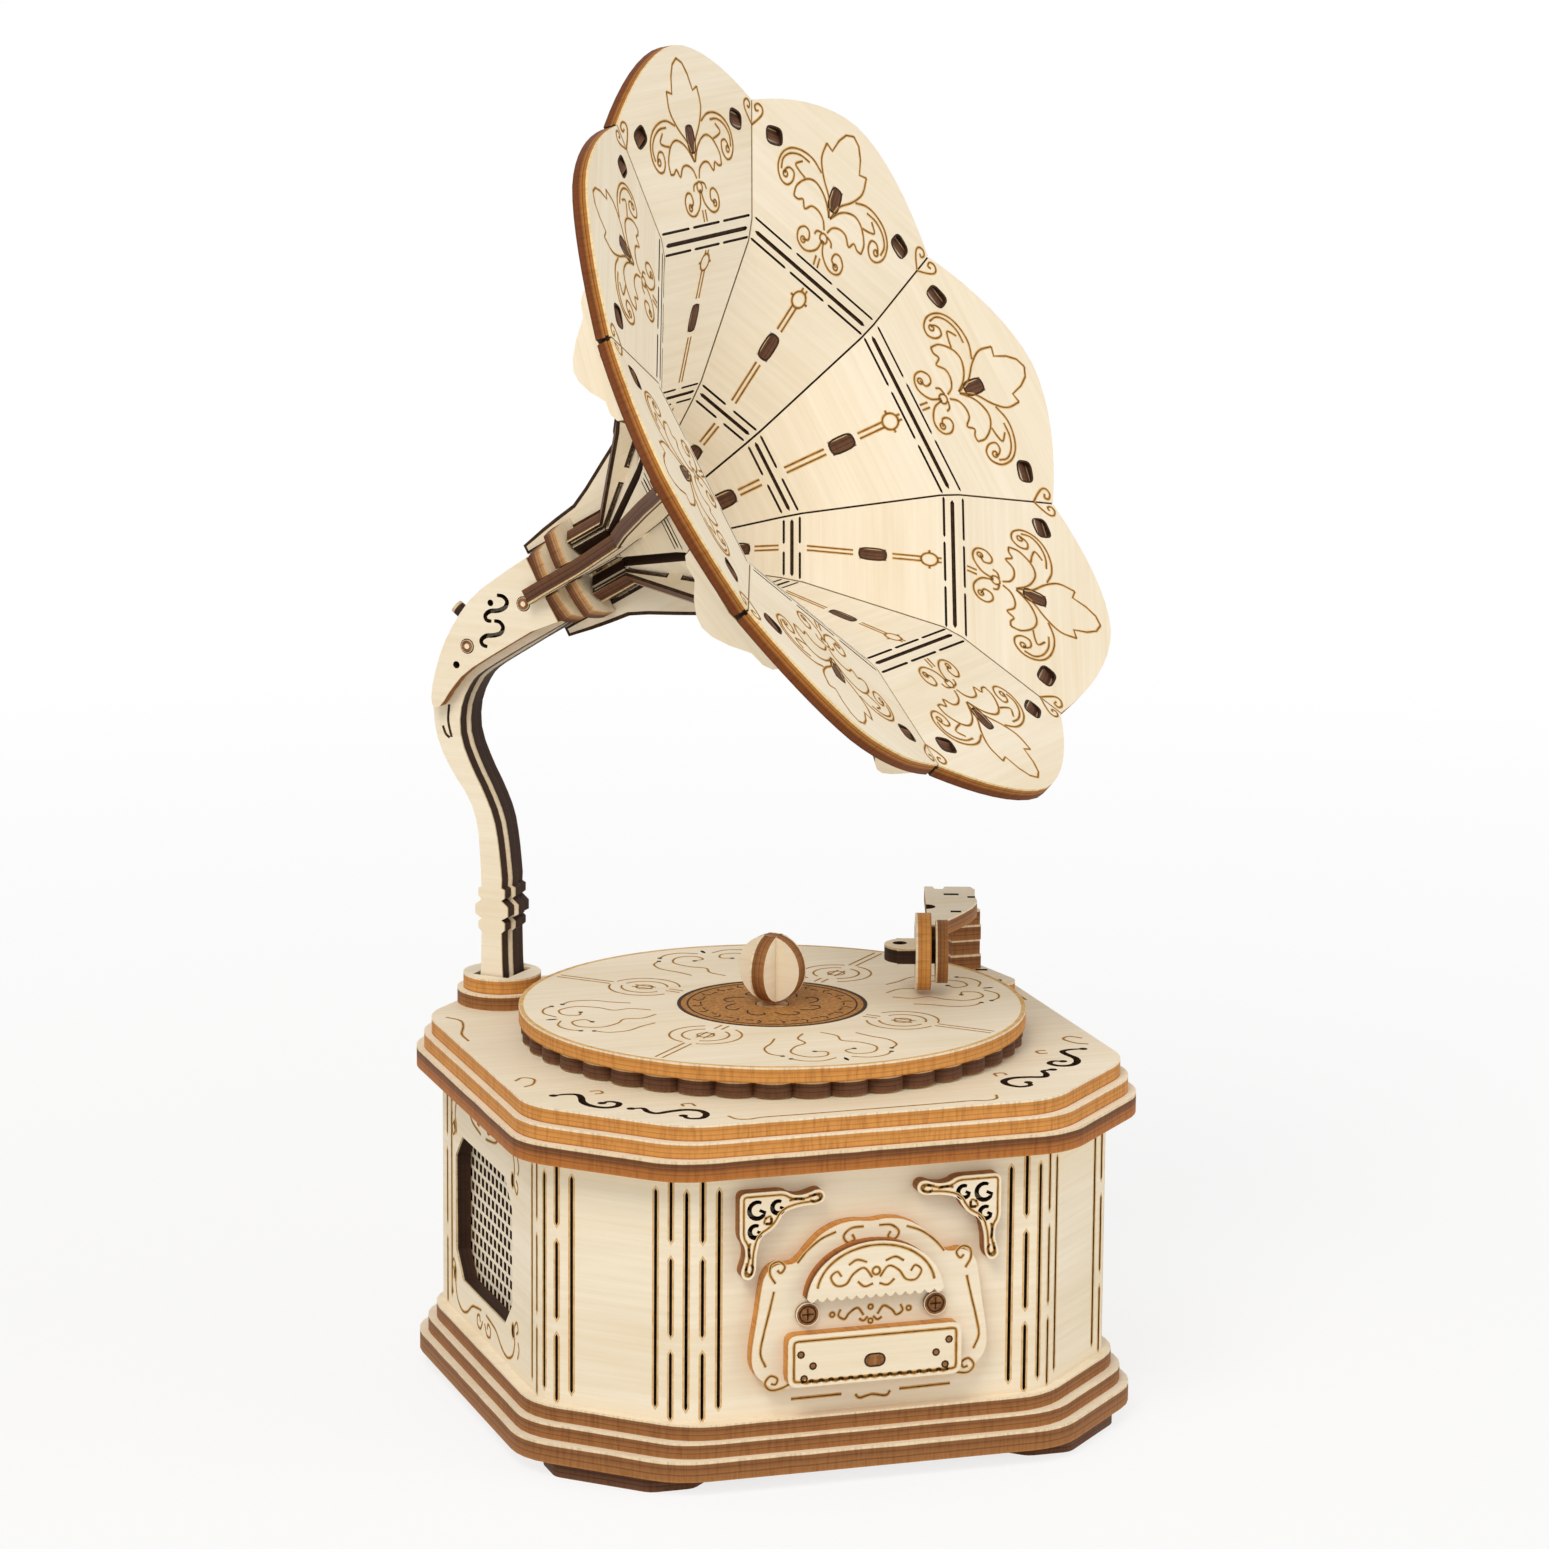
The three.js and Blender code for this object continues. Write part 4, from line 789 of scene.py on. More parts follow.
# Front: plaque with pegs, arch, drawer panel and corner brackets
front = {
    "pegRadius": 1.5, "pegSpread": 8.35, "pegHeight": 22.05, "pegLength": 2.45, "pegProud": 0.5,
    "crossHalf": 0.75, "archHalf": 8.9, "archScallops": 14, "archDepth": 0.5, "archInner": (0.86, 1.15, 0.78),
    "tab": (-0.05, 15.95, 1.3, 0.8), "pinRadius": 0.42, "panelInset": 0.7, "bracketInset": 0.45,
    "hookWidth": 0.62,
    "panelScallops": 15, "panelHalf": 9.6, "panelLevel": 14.05, "panelDepth": 0.3,
}
plaqueBend, rings, _ = flatNode("front_plaque", xAxis, zAxis, proud=front["pegProud"])
plaqueCurls = [
    [(10.2, 13.3), (11.6, 12.7), (13.0, 12.6), (13.7, 13.5), (13.0, 14.4), (12.1, 14.0), (12.3, 13.3),
     (12.9, 13.4)],
    [(13.6, 15.6), (14.3, 17.4), (13.9, 19.8), (13.2, 22.6), (12.6, 25.2)],
    [(12.4, 26.2), (13.1, 27.4), (13.0, 28.6), (12.0, 29.0), (11.2, 28.3), (11.7, 27.5), (12.2, 27.9)],
    [(1.0, 32.6), (2.6, 32.5), (3.6, 31.6), (3.1, 30.7), (2.2, 31.0), (2.5, 31.7)],
    [(4.6, 32.2), (6.6, 31.4), (8.4, 30.0), (9.6, 28.6)],
]
flourish = [
    [(0.9, 21.2), (1.7, 22.2), (2.8, 21.6), (3.4, 20.9), (4.2, 21.4), (3.9, 22.2)],
    [(0.35, 21.0), (0.9, 20.5), (1.5, 20.8)],
]
lines = [smooth(line, 4) for line in plaqueCurls + mirrored(plaqueCurls) + flourish + mirrored(flourish)]
lines += [closedLine(circleRing(x, z, 0.3, 8)) for x, z in ((0, 22.2), (5.0, 21.6), (-5.0, 21.6), (0, 20.4))]
parts = [(joinFlats(cutSheet([softened(rings[0], 1.0)]), engrave(lines)), plaqueBend)]
for side in (-1, 1):
    x, z = side * front["pegSpread"], front["pegHeight"]
    radius, cross = front["pegRadius"], front["crossHalf"]
    peg = pegEnd(x, z, radius, 24, front["pegLength"], [(radius - 0.1, 24, "tab")])
    marks = [[(x - cross, z), (x + cross, z)], [(x, z - cross), (x, z + cross)],
             closedLine(circleRing(x, z, 1.05, 16))]
    parts.append((joinFlats(peg, score(marks)), sunk(plaqueBend, -front["pegProud"])))
layPiece("engraved_plaque", parts, node="front_plaque")

bend, rings, thickness = flatNode("front_arch", xAxis, zAxis)
base = min(z for _, z in rings[0])
curve = sorted((p for p in rings[0] if p[1] > base + 0.01), key=lambda p: p[0], reverse=True)
foot = scallopLine(front["archHalf"], base + front["archDepth"], front["archDepth"], front["archScallops"])
shareX, rise, shareZ = front["archInner"]
inner = [(x * shareX, base + rise + (z - base) * shareZ) for x, z in curve]
wave = [
    [(0.5, 26.6), (1.6, 27.9), (3.0, 27.2), (3.9, 26.0), (5.2, 25.9), (5.9, 27.0), (5.1, 27.7), (4.5, 27.0)],
    [(0.4, 25.8), (1.5, 25.5), (2.4, 26.2)],
    [(1.2, 28.6), (2.5, 29.0), (3.6, 28.4)],
]
lines = [smooth(line, 4) for line in wave + mirrored(wave)] + [closedLine(circleRing(0, 27.4, 0.5, 10))]
# The arch's edge has the same painted shade on its upper half and painted bounce light on its lower half.
fan = joinFlats(cutSheet([[*foot, *curve]], thickness, "smoked"), engrave(lines, 0.95), engrave([inner], 1.1))
layPiece("scalloped_arch", [(fan, bend)], node="front_arch")

bend, rings, thickness = flatNode("front_drawer_panel", xAxis, zAxis)
pins = ((-9.69, 17.43), (-8.12, 15.87), (-9.27, 14.31), (9.65, 17.75), (7.96, 16.22), (9.17, 14.56))
tab = softened(boxRing(*front["tab"]), 0.5)
inlays = [(tab, "tab")] + [(circleRing(*pin, front["pinRadius"] - 0.1, 8), "tab") for pin in pins]
scallops = scallopLine(front["panelHalf"], front["panelLevel"], front["panelDepth"], front["panelScallops"])
marks = [closedLine(tab)] + [closedLine(circleRing(*pin, front["pinRadius"], 8)) for pin in pins]
drawer = joinFlats(cutSheet([rings[0]], thickness, inlays=inlays),
                   engrave([closedLine(insetRing(rings[0], front["panelInset"])), scallops], 1.1),
                   score(marks))
layPiece("drawer_panel_with_pins", [(drawer, bend)], node="front_drawer_panel")

# openwork of a bracket: in from its outer corner, and down; hooks as (in, down, radius)
bracketHoles = ((2.2, 2.2, 1.05), (4.9, 2.0, 0.78), (2.0, 4.9, 0.78))
bracketCurls = [
    [(8.8, 0.9), (9.9, 0.8), (10.3, 1.4), (9.6, 1.7), (9.0, 1.4)],
    [(6.3, 1.3), (7.4, 1.1), (8.3, 1.3)],
    [(3.2, 3.3), (3.9, 3.1), (4.0, 3.9), (3.3, 4.0)],
]
for name, side in (("left", -1), ("right", 1)):
    node = "corner_bracket_" + name
    bend, rings, thickness = flatNode(node, xAxis, zAxis)
    outline = softened(rings[0], 0.5)
    cornerX = side * max(side * x for x, _ in outline)
    cornerZ = max(z for _, z in outline)
    holes = []
    for right, down, radius in bracketHoles:
        x, z = cornerX - side * right, cornerZ - down
        hook = [*circleRing(x, z, radius, 18)[3:], (x + radius * 0.25, z)]
        holes.append(strokeRing(hook, front["hookWidth"], 0.6))
    curls = bracketCurls + [[(b, a) for a, b in line] for line in bracketCurls]
    lines = [smooth([(cornerX - side * a, cornerZ - b) for a, b in line], 3) for line in curls]
    lines.append(closedLine(insetRing(outline, front["bracketInset"])))
    flat = joinFlats(cutSheet([outline], thickness, "brown", holes), engrave(lines, 0.9))
    layPiece("openwork_bracket_" + name, [(flat, bend)], node=node)
print("front ornaments cut")


# Turntable: etched label, ring and C-scroll ornament, scalloped rim, knob of two crossed discs
table = {
    "label": 12.0, "labelBorder": 10.9, "ringDistance": 18.6, "ringRadii": (3.0, 4.6), "ringArc": (12, 152),
    "rayRuns": ((13.2, 15.2), (17.2, 20.2), (23.4, 31.2)), "slot": (28.6, 30.4, 0.5), "scorchRadius": 32.28,
    "rimRadius": 32.3, "rimTeeth": 40, "rimNotch": 1.3, "toothSteps": 10, "knobRadius": 4.35, "knobTurn": -46,
    "knobLift": 0.45, "knobFoot": 51.3, "knobGap": 1.02, "footRadius": 1.3, "footHeight": 4.2,
    "footLevel": 51.6,
}
scrollC = [
    [(16.0, 1.2), (18.2, 2.6), (20.6, 2.4), (22.0, 4.2), (24.6, 5.6), (27.2, 4.4), (27.4, 2.0), (25.6, 1.2),
     (24.9, 2.6)],
    [(17.4, 5.4), (19.6, 6.6), (21.8, 8.2), (24.4, 8.4), (26.0, 7.2)],
    [(28.6, 1.0), (29.6, 3.2), (29.0, 5.4), (27.6, 6.6)],
]
discCuts, discLines, discSlits = [], [], []
for quarter in range(4):
    ring, straight, angle = table["ringDistance"], 90 * quarter, 45 + 90 * quarter
    for radius in table["ringRadii"]:
        for side in (-1, 1):
            fromAngle, toAngle = (side * end for end in table["ringArc"])
            discLines.append(turned(arcLine(ring, 0, radius, fromAngle, toAngle), angle))
    for side in (-0.5, 0.5):
        discLines += [turned([(low, side), (high, side)], angle) for low, high in table["rayRuns"]]
    discLines.append(closedLine(turned(circleRing(ring, 0, 1.1, 12), angle)))
    for line in scrollC:
        for side in (-1, 1):
            drawn = turned(smooth([(x, side * y) for x, y in line], 4), straight)
            discLines.append(drawn)
            discSlits.append(closedLine(circleRing(*drawn[-1], 0.22, 7)))
    discCuts.append(turned(slitRing(0, *table["slot"]), straight))
labelLines = [closedLine(circleRing(0, 0, table["labelBorder"], 64))]
for step in range(40):
    labelLines.append(turned([(9.0, -0.4), (9.7, 0.1), (10.3, -0.3)] if step % 2
                             else [(9.2, -0.5), (9.2, 0.5)], 9 * step))
petalCurl = [(4.6, -1.2), (6.0, -0.4), (6.4, 1.0), (5.6, 1.8), (4.9, 1.2)]
labelLines += [turned(smooth(petalCurl, 3), 45 * step) for step in range(8)]
bend, rings, thickness = flatNode("turntable_disc", xAxis, yAxis)
label = circleRing(0, 0, table["label"], 72)
disc = cutSheet(rings, thickness, "amber", discCuts, inlays=[(label, "label")])
scorched = ribbons([closedLine(circleRing(0, 0, table["scorchRadius"], 96))], 0.55, 0.012, "halo")
disc = joinFlats(disc, engrave(discLines, 0.75), score(labelLines + discSlits, 0.22), scorched,
                 score([closedLine(label)], 0.5))
layPiece("engraved_turntable_disc", [(disc, bend)], "turntable", "turntable_disc")

bend, rings, thickness = flatNode("turntable_rim", xAxis, yAxis)
teeth, steps = [], table["toothSteps"]
for i in range(table["rimTeeth"] * steps):
    reach = table["rimRadius"] - table["rimNotch"] * (1 - abs(math.cos(math.pi * i / steps)) ** 0.5)
    teeth += turned([(reach, 0)], 360 / steps * i / table["rimTeeth"])
# The rim's teeth take the darker umber edge finish, which paints in the shade that the overhanging disc casts
# on them.
layPiece("scalloped_rim", [(cutSheet([teeth, *rings[1:]], thickness, "umber"), bend)], "turntable",
         "turntable_rim")
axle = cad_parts["turntable_axle"]
axle.data.materials.clear()
axle.data.materials.append(finishes["dowel"])

gap, turn = table["knobGap"], math.radians(table["knobTurn"])
circle = circleRing(0, table["knobFoot"] + table["knobLift"] + table["knobRadius"], table["knobRadius"], 48)
# the second disc is cut in two halves, one on each side of the first
halfDisc = [(gap, circle[37][1]), *circle[37:], *circle[:12], (gap, circle[11][1])]
knobParts = []
for angle, rings in ((turn, [circle]), (turn + math.pi / 2, [halfDisc, mirrored([halfDisc])[0][::-1]])):
    right = Vector((-math.cos(angle), -math.sin(angle), 0))
    knobParts.append((cutSheet(rings, 2, "brown"), flatBend(axis, right, zAxis, 1)))
foot = cutSheet([circleRing(0, 0, table["footRadius"], 20)], table["footHeight"], "brown")
knobParts.append((foot, flatBend(axis, xAxis, yAxis, table["footLevel"] + table["footHeight"])))
layPiece("crossed_disc_knob", knobParts, "turntable", "turntable_knob")
print("turntable dressed")


# Tonearm: pivot plate, post of four squares, arm plate, sound box
arm = {
    "pivot": (33.0, 20.0), "turn": -18.3, "postHalf": 2.1, "postEase": (0.0, 0.12, 0.04, 0.14),
    "postFoot": 49.3, "pinLength": 3.3, "boxX": -5.6, "boxY": -22.9, "boxZ": 56.8,
    "baseSlots": ((2.4, -1.6), (2.2, -7.6), (-0.8, -4.4)),
    "armSlots": ((31.1, 18.8, 1.0), (33.2, 16.5, 0.6), (28.3, 9.2, 0.7)),
    "bite": (25.4, 13.0, 1.35),
}
armX, armY = arm["pivot"]
armTurn = math.radians(arm["turn"])
pivot = axis + Vector((armX, armY, 0))
armAcross = Vector((*turned([(1, 0)], arm["turn"])[0], 0))
armAlong = Vector((*turned([(0, 1)], arm["turn"])[0], 0))
baseSlots = [boxRing(armX + x, armY + y, 0.8, 0.42, armTurn) for x, y in arm["baseSlots"]]
plate("tonearm_base", cutouts=baseSlots)

postParts = []
for layer, ease in enumerate(arm["postEase"]):
    square = cutSheet([boxRing(0, 0, arm["postHalf"] - ease, arm["postHalf"] - ease)], 2, "brown")
    postParts.append((square, flatBend(pivot, xAxis, yAxis, arm["postFoot"] + 2 * layer + 2)))
pin = cutSheet([circleRing(0, 0, 1, 16)], arm["pinLength"], "brown")
postParts.append((pin, flatBend(pivot, xAxis, yAxis, arm["postFoot"])))
layPiece("stacked_post", postParts, "tonearm", "tonearm_post")

armCuts = [boxRing(x, y, halfX, 0.5, armTurn) for x, y, halfX in arm["armSlots"]]
plate("tonearm_arm", "brown", armCuts + [circleRing(*arm["bite"], 16)], body="tonearm")

boxCentre = pivot + armAcross * arm["boxX"] + armAlong * arm["boxY"] + zAxis * arm["boxZ"]
# the upright discs: radius, how far in the first face lies, thickness, edge, cut-outs
boxDiscs = (
    (5, -1, 2, "amber", [boxRing(-4.6, 1.7, 1.55, 1.25)]), (1.6, 1, 0.6, "dark", ()),
    (4.1, 1.6, 1.6, "brown", [boxRing(-4.2, 1.7, 1.15, 1.25)]),
)
soundParts = []
for radius, start, thickness, edge, cuts in boxDiscs:
    disc = cutSheet([circleRing(0, 0, radius, 40)], thickness, edge, cuts)
    soundParts.append((disc, flatBend(boxCentre, -armAlong, zAxis, -start)))
shelf = [(-1.0, -3), (-1.0, 3), (-3.4, 3), *[(x - 2, y) for x, y in arcLine(0, 0, 3, 100, 260, 10)],
         (-3.4, -3)][::-1]
shelfFlat = cutSheet([shelf], 2, "dark", [circleRing(-3.0, 0.4, 0.95, 14)])
soundParts.append((shelfFlat, flatBend(boxCentre, armAcross, armAlong, 1)))
layPiece("sound_box_discs", soundParts, "tonearm", "tonearm_sound_box")
print("tonearm dressed")


# Neck: stacked base discs, three S-shaped layers, elbow covers with S cut-outs and pins
plate("neck_base_lower", "brown")
plate("neck_base_upper")
neckMarks = [smooth(line, 4) for line in (
    [(-45.95, 86.6), (-46.1, 84.4), (-45.6, 82.3)], [(-46.9, 83.7), (-46.5, 82.7), (-45.9, 82.2)])]
for name, marks in (("left", neckMarks), ("middle", ()), ("right", ())):
    plate("neck_plate_" + name, "dark", deep=marks, view=(neckRight, zAxis))

elbow = {
    "scrollWidth": 0.62, "pinRadius": 0.85, "pinProud": 0.12, "pinGap": 0.16,
    "pinSpots": ((-33.8, 101.3), (-42.1, 95.0)),
    "dots": ((-38.65, 101.0, 0.45), (-43.72, 92.4, 0.5)),
    "pegRadius": 0.9, "pegLength": 3.2, "pegProud": 1.3, "peg": (-43.1, 99.2), "pegAcross": -4.0,
    "pegWay": (-0.817, 0.577),
}
elbowScrolls = [
    [(-37.7, 102.1), (-36.8, 102.0), (-36.2, 101.4), (-36.5, 100.6), (-37.5, 100.1), (-38.7, 99.9),
     (-39.4, 99.3), (-39.2, 98.7), (-38.5, 98.6)],
    [(-38.1, 98.7), (-37.3, 98.6), (-36.8, 98.0), (-37.1, 97.2), (-38.1, 96.8), (-39.3, 96.6), (-40.0, 96.0),
     (-39.8, 95.4), (-39.1, 95.2)],
]
elbowCuts = [strokeRing(smooth(line, 4), elbow["scrollWidth"], 0.7) for line in elbowScrolls]
elbowCuts += [circleRing(*dot, 10) for dot in elbow["dots"]]
for name, sign in (("left", 1), ("right", -1)):
    node = "elbow_cover_" + name
    bend, rings, thickness = flatNode(node, sign * neckRight, zAxis)
    radius = elbow["pinRadius"]
    spots = [(sign * x, z) for x, z in elbow["pinSpots"]]
    cuts = [[(sign * x, z) for x, z in ring] for ring in elbowCuts]
    cuts += [circleRing(*spot, radius + elbow["pinGap"], 16) for spot in spots]
    parts = [(cutSheet(rings, thickness, "brown", cuts), bend)]
    for spot in spots:
        pin = pegEnd(*spot, radius, 16, thickness, [(radius - 0.05, 16, "tab"), (0.36, 10, "face")])
        parts.append((pin, sunk(bend, -elbow["pinProud"])))
    layPiece("pinned_" + node, parts, node=node)

# The end of a round peg stands out of the elbow's back edge.
pegOut = (zAxis * elbow["pegWay"][1] + neckRight * elbow["pegWay"][0]).normalized()
pegSpot = axis + neckRight * elbow["peg"][0] + zAxis * elbow["peg"][1] + neckAcross * elbow["pegAcross"]
peg = pegEnd(0, 0, elbow["pegRadius"], 18, elbow["pegLength"], [(elbow["pegRadius"] - 0.1, 18, "dowel")])
layPiece("elbow_peg", [(peg, flatBend(pegSpot, neckAcross.cross(pegOut), neckAcross, elbow["pegProud"]))])
print("neck dressed")


# Horn: its axis and folds, as in the CAD
horn = {
    "tilt": 30.56, "notchRadius": 47.8, "petalReach": 15.33, "notchRise": 4.71, "rimBandWidth": 2.48,
    "rimBandDepth": 1.33, "throatFoldRadius": 15.69, "throatFoldDepth": 13.61, "throatBandWidth": 1.94,
    "throatBandDepth": 15.78, "ribSlotMargin": 0.25, "bridgeSlotMargin": 0.42, "bridgeSlotsFrom": 4,
    "stemHalf": 0.37, "knotRun": 16.4, "knotRadius": 1.1, "knotReach": 1.6,
    "throatTilt": 54, "neckStrip": 6.56, "neckBore": 3, "collars": 4, "neckPlate": 2, "clearance": 0.3,
    "deckTop": 47, "deckHalf": 41.2, "deckChamfer": 15.7, "neckInset": 7.42, "neckReach": 8.86,
    "neckRise": 56.49, "tabSunk": 0.4, "stripSunk": 0.5,
}
tilt = math.radians(horn["tilt"])
hornAxis = neckRight * math.cos(tilt) + zAxis * math.sin(tilt)
hornDown = neckRight * math.sin(tilt) - zAxis * math.cos(tilt)
halfStep = math.pi / 8
flatShare = math.cos(halfStep)
foldRadius = horn["notchRadius"] - horn["petalReach"]
throatBandX = (horn["throatFoldRadius"] - horn["throatBandWidth"]) * flatShare
throatSlope = math.tan(math.radians(horn["throatTilt"]))
neckBend = horn["throatBandDepth"] + (throatBandX - horn["neckBore"]) * throatSlope
goreEnd = neckBend + horn["neckStrip"]
collarDepth = goreEnd + horn["collars"] + horn["neckPlate"] + horn["clearance"]
neckSetback = (2 * horn["deckHalf"] - horn["deckChamfer"]) * halfRoot - horn["neckInset"]
hornCentre = axis + neckRight * (horn["neckReach"] - neckSetback + collarDepth * math.cos(tilt))
hornCentre += zAxis * (horn["deckTop"] + horn["neckRise"] + collarDepth * math.sin(tilt))
folds = [Vector(p) for p in (
    (horn["neckBore"], -goreEnd), (horn["neckBore"], -neckBend), (throatBandX, -horn["throatBandDepth"]),
    (horn["throatFoldRadius"] * flatShare, -horn["throatFoldDepth"]),
    ((foldRadius - horn["rimBandWidth"]) * flatShare, -horn["rimBandDepth"]), (foldRadius * flatShare, 0),
    (horn["notchRadius"] * flatShare, horn["notchRise"]))]
ways = [(b - a).normalized() for a, b in zip(folds, folds[1:])]
lengths = [(b - a).length for a, b in zip(folds, folds[1:])]
foldRuns = [sum(lengths[:i]) for i in range(len(lengths) + 1)]


def hornRadial(angle):
    return hornDown * math.cos(angle) + neckAcross * math.sin(angle)


def gorePlace(angle):
    radial = hornRadial(angle)
    across = neckAcross * math.cos(angle) - hornDown * math.sin(angle)

    def bend(acrossRun, along, depth):
        i = max([k for k in range(len(ways)) if along >= foldRuns[k] - 1e-4] or [0])
        behind = Vector((ways[i].y, -ways[i].x))
        spot = folds[i] + ways[i] * (along - foldRuns[i])
        if 0 < i and abs(along - foldRuns[i]) < 1e-3:
            other = Vector((ways[i - 1].y, -ways[i - 1].x))
            behind = (behind + other) / (1 + behind.dot(other))
        spot = spot + behind * depth
        return (hornCentre + radial * spot.x - across * acrossRun + hornAxis * spot.y) * mm

    def unbend(point):
        offset = point / mm - hornCentre
        spot = Vector((offset.dot(radial), offset.dot(hornAxis)))
        best = Vector((0, 0, 99))
        for i, way in enumerate(ways):
            rest = spot - folds[i]
            run, depth = rest.dot(way), rest.x * way.y - rest.y * way.x
            if -0.02 < run and (run < lengths[i] + 0.02 or i == len(ways) - 1) and abs(depth) < abs(best.z):
                best = Vector((-offset.dot(across), foldRuns[i] + run, depth))
        return best

    return bend, unbend


# the petal's ornament, one half: along from its fold, and across from its middle
budNotch = [(17.8, 4.1), (17.4, 2.8), (19.5, 2.2), (21.0, 1.3), (21.7, 0)]
petalHalf = [
    [(8.5, 0.1), (9.8, 0.55), (11.3, 1.25), (13.1, 2.95), (15.3, 4.2), (17.8, 4.1)], budNotch,
    [(8.5, 0.1), (10.2, 1.3), (11.2, 2.65), (11.6, 4.2), (10.9, 5.7), (9.1, 6.9), (7.5, 6.9)],
    [(7.5, 6.9), (7.5, 6.05), (8.0, 5.2), (7.0, 4.5), (8.1, 3.5), (8.25, 2.2), (7.6, 0.95), (6.4, 0.3)],
    [(13.4, 3.5), (14.2, 5.5), (14.1, 7.6), (13.2, 9.6), (11.6, 10.8), (9.6, 10.9), (8.2, 9.9), (8.05, 8.6),
     (9.1, 7.8), (10.35, 7.95), (10.55, 8.9), (9.9, 9.5), (9.3, 9.4)],
    [(13.4, 5.9), (13.3, 7.8), (12.4, 9.5), (11.0, 10.4), (9.5, 10.2)],
    [(12.8, 7.1), (11.7, 8.1), (11.2, 7.2), (10.95, 5.9)],
    [(5.0, 0.1), (3.2, 0.6), (2.0, 2.0), (1.9, 3.3), (2.6, 4.3), (3.9, 4.45), (4.8, 3.6), (4.6, 2.65),
     (3.5, 2.4), (2.95, 3.4)],
    [(5.9, 0.5), (5.6, 1.4), (4.9, 1.7)],
]
# half of the heart on each seam: back from the notch, and in from the seam
heartHalf = [(3.4, 0.05), (2.4, 1.25), (1.5, 2.0), (0.75, 1.95), (0.35, 1.25), (0.7, 0.6), (1.35, 0.75),
             (1.25, 1.3)]
sideShare = math.tan(halfStep)
seam = Vector(((folds[6].x - folds[5].x) * sideShare, lengths[5])).normalized()
notch = Vector((folds[6].x * sideShare, foldRuns[6]))
goreLines = []
for line in petalHalf:
    drawn = [(across, foldRuns[5] + along) for along, across in line]
    goreLines.append(drawn if line is budNotch else smooth(drawn, 4))
inward = Vector((-seam.y, seam.x))
goreLines.append([tuple(notch - seam * back + inward * aside) for back, aside in smooth(heartHalf, 4)])
goreLines += mirrored(goreLines)
dots = [(0, 5.3, 0.7), (9.3, 9.3, 0.42), (-9.3, 9.3, 0.42), (3.3, 2.95, 0.42), (-3.3, 2.95, 0.42)]
goreLines += [closedLine(circleRing(x, foldRuns[5] + along, radius, 10)) for x, along, radius in dots]
# the stems' twin lines: panel, and along it from its fold
stemSpans = ((1, 1.0, 8.3), (1, 13.1, 16.2), (3, 0.5, 6.5), (3, 11.6, 15.3), (3, 17.5, 18.0), (5, 0.9, 2.4))
for panel, low, high in stemSpans:
    for x in (-horn["stemHalf"], horn["stemHalf"]):
        goreLines.append([(x, foldRuns[panel] + low), (x, foldRuns[panel] + high)])
knot = foldRuns[3] + horn["knotRun"]
goreLines.append(closedLine(circleRing(0, knot, horn["knotRadius"], 16)))
goreLines += [[(side * horn["knotRadius"], knot), (side * horn["knotReach"], knot)] for side in (-1, 1)]

# slits across a gore: along it, the shares of the half width where each one starts and ends, half width,
# and slit width
rimThirds, throatHalves, whole = ((-1, -0.37), (-0.31, 0.31), (0.37, 1)), ((-1, -0.12), (0.12, 1)), ((-1, 1),)
slitRows = [
    (foldRuns[5] + 0.5, rimThirds, 12.1, 0.34), (foldRuns[4] + 1.6, whole, 11.2, 0.55),
    (foldRuns[4] + 0.4, rimThirds, 11.4, 0.34),
    (foldRuns[3] - 0.4, throatHalves, 5.5, 0.3), (foldRuns[2] + 1.4, whole, 5.0, 0.45),
    (foldRuns[2] + 0.35, throatHalves, 4.9, 0.3),
]
slitRows += [(foldRuns[1] + 0.55 * step, ((-0.95, -0.4), (0.4, 0.95)), 1.35, 0.18) for step in range(-2, 3)]
goreCuts, shadeStripLines = [], []
for along, shares, reach, width in slitRows:
    for low, high in shares:
        goreCuts.append([(y, x) for x, y in slitRing(along, low * reach, high * reach, width)][::-1])
        shadeStripLines.append([(low * reach, along), (high * reach, along)])
goreFolds = [((-30, run), (30, run)) for run in foldRuns[1:6]]
rings = frontRings("horn_gore_1", gorePlace(math.pi)[1])
slots = []
for ring in rings[1:]:
    isRib = abs(ring[0][0]) < horn["bridgeSlotsFrom"]
    slots.append(roundedSlot(ring, horn["ribSlotMargin" if isRib else "bridgeSlotMargin"]))
gore = cutSheet([rings[0]], 2, "ember", slots + goreCuts, goreFolds)
# The gore's edges that stay short of the notches take the dark finish instead of ember: painted shade where
# the gores meet each other and the neck.
for i, face in enumerate(gore["faces"]):
    if gore["kinds"][i] == "ember" and max(gore["points"][k][1] for k in face) < foldRuns[6] + 0.05:
        gore["kinds"][i] = "dark"
gore = joinFlats(gore, engrave(goreLines), score([closedLine(ring) for ring in slots], 0.26, 0.025))
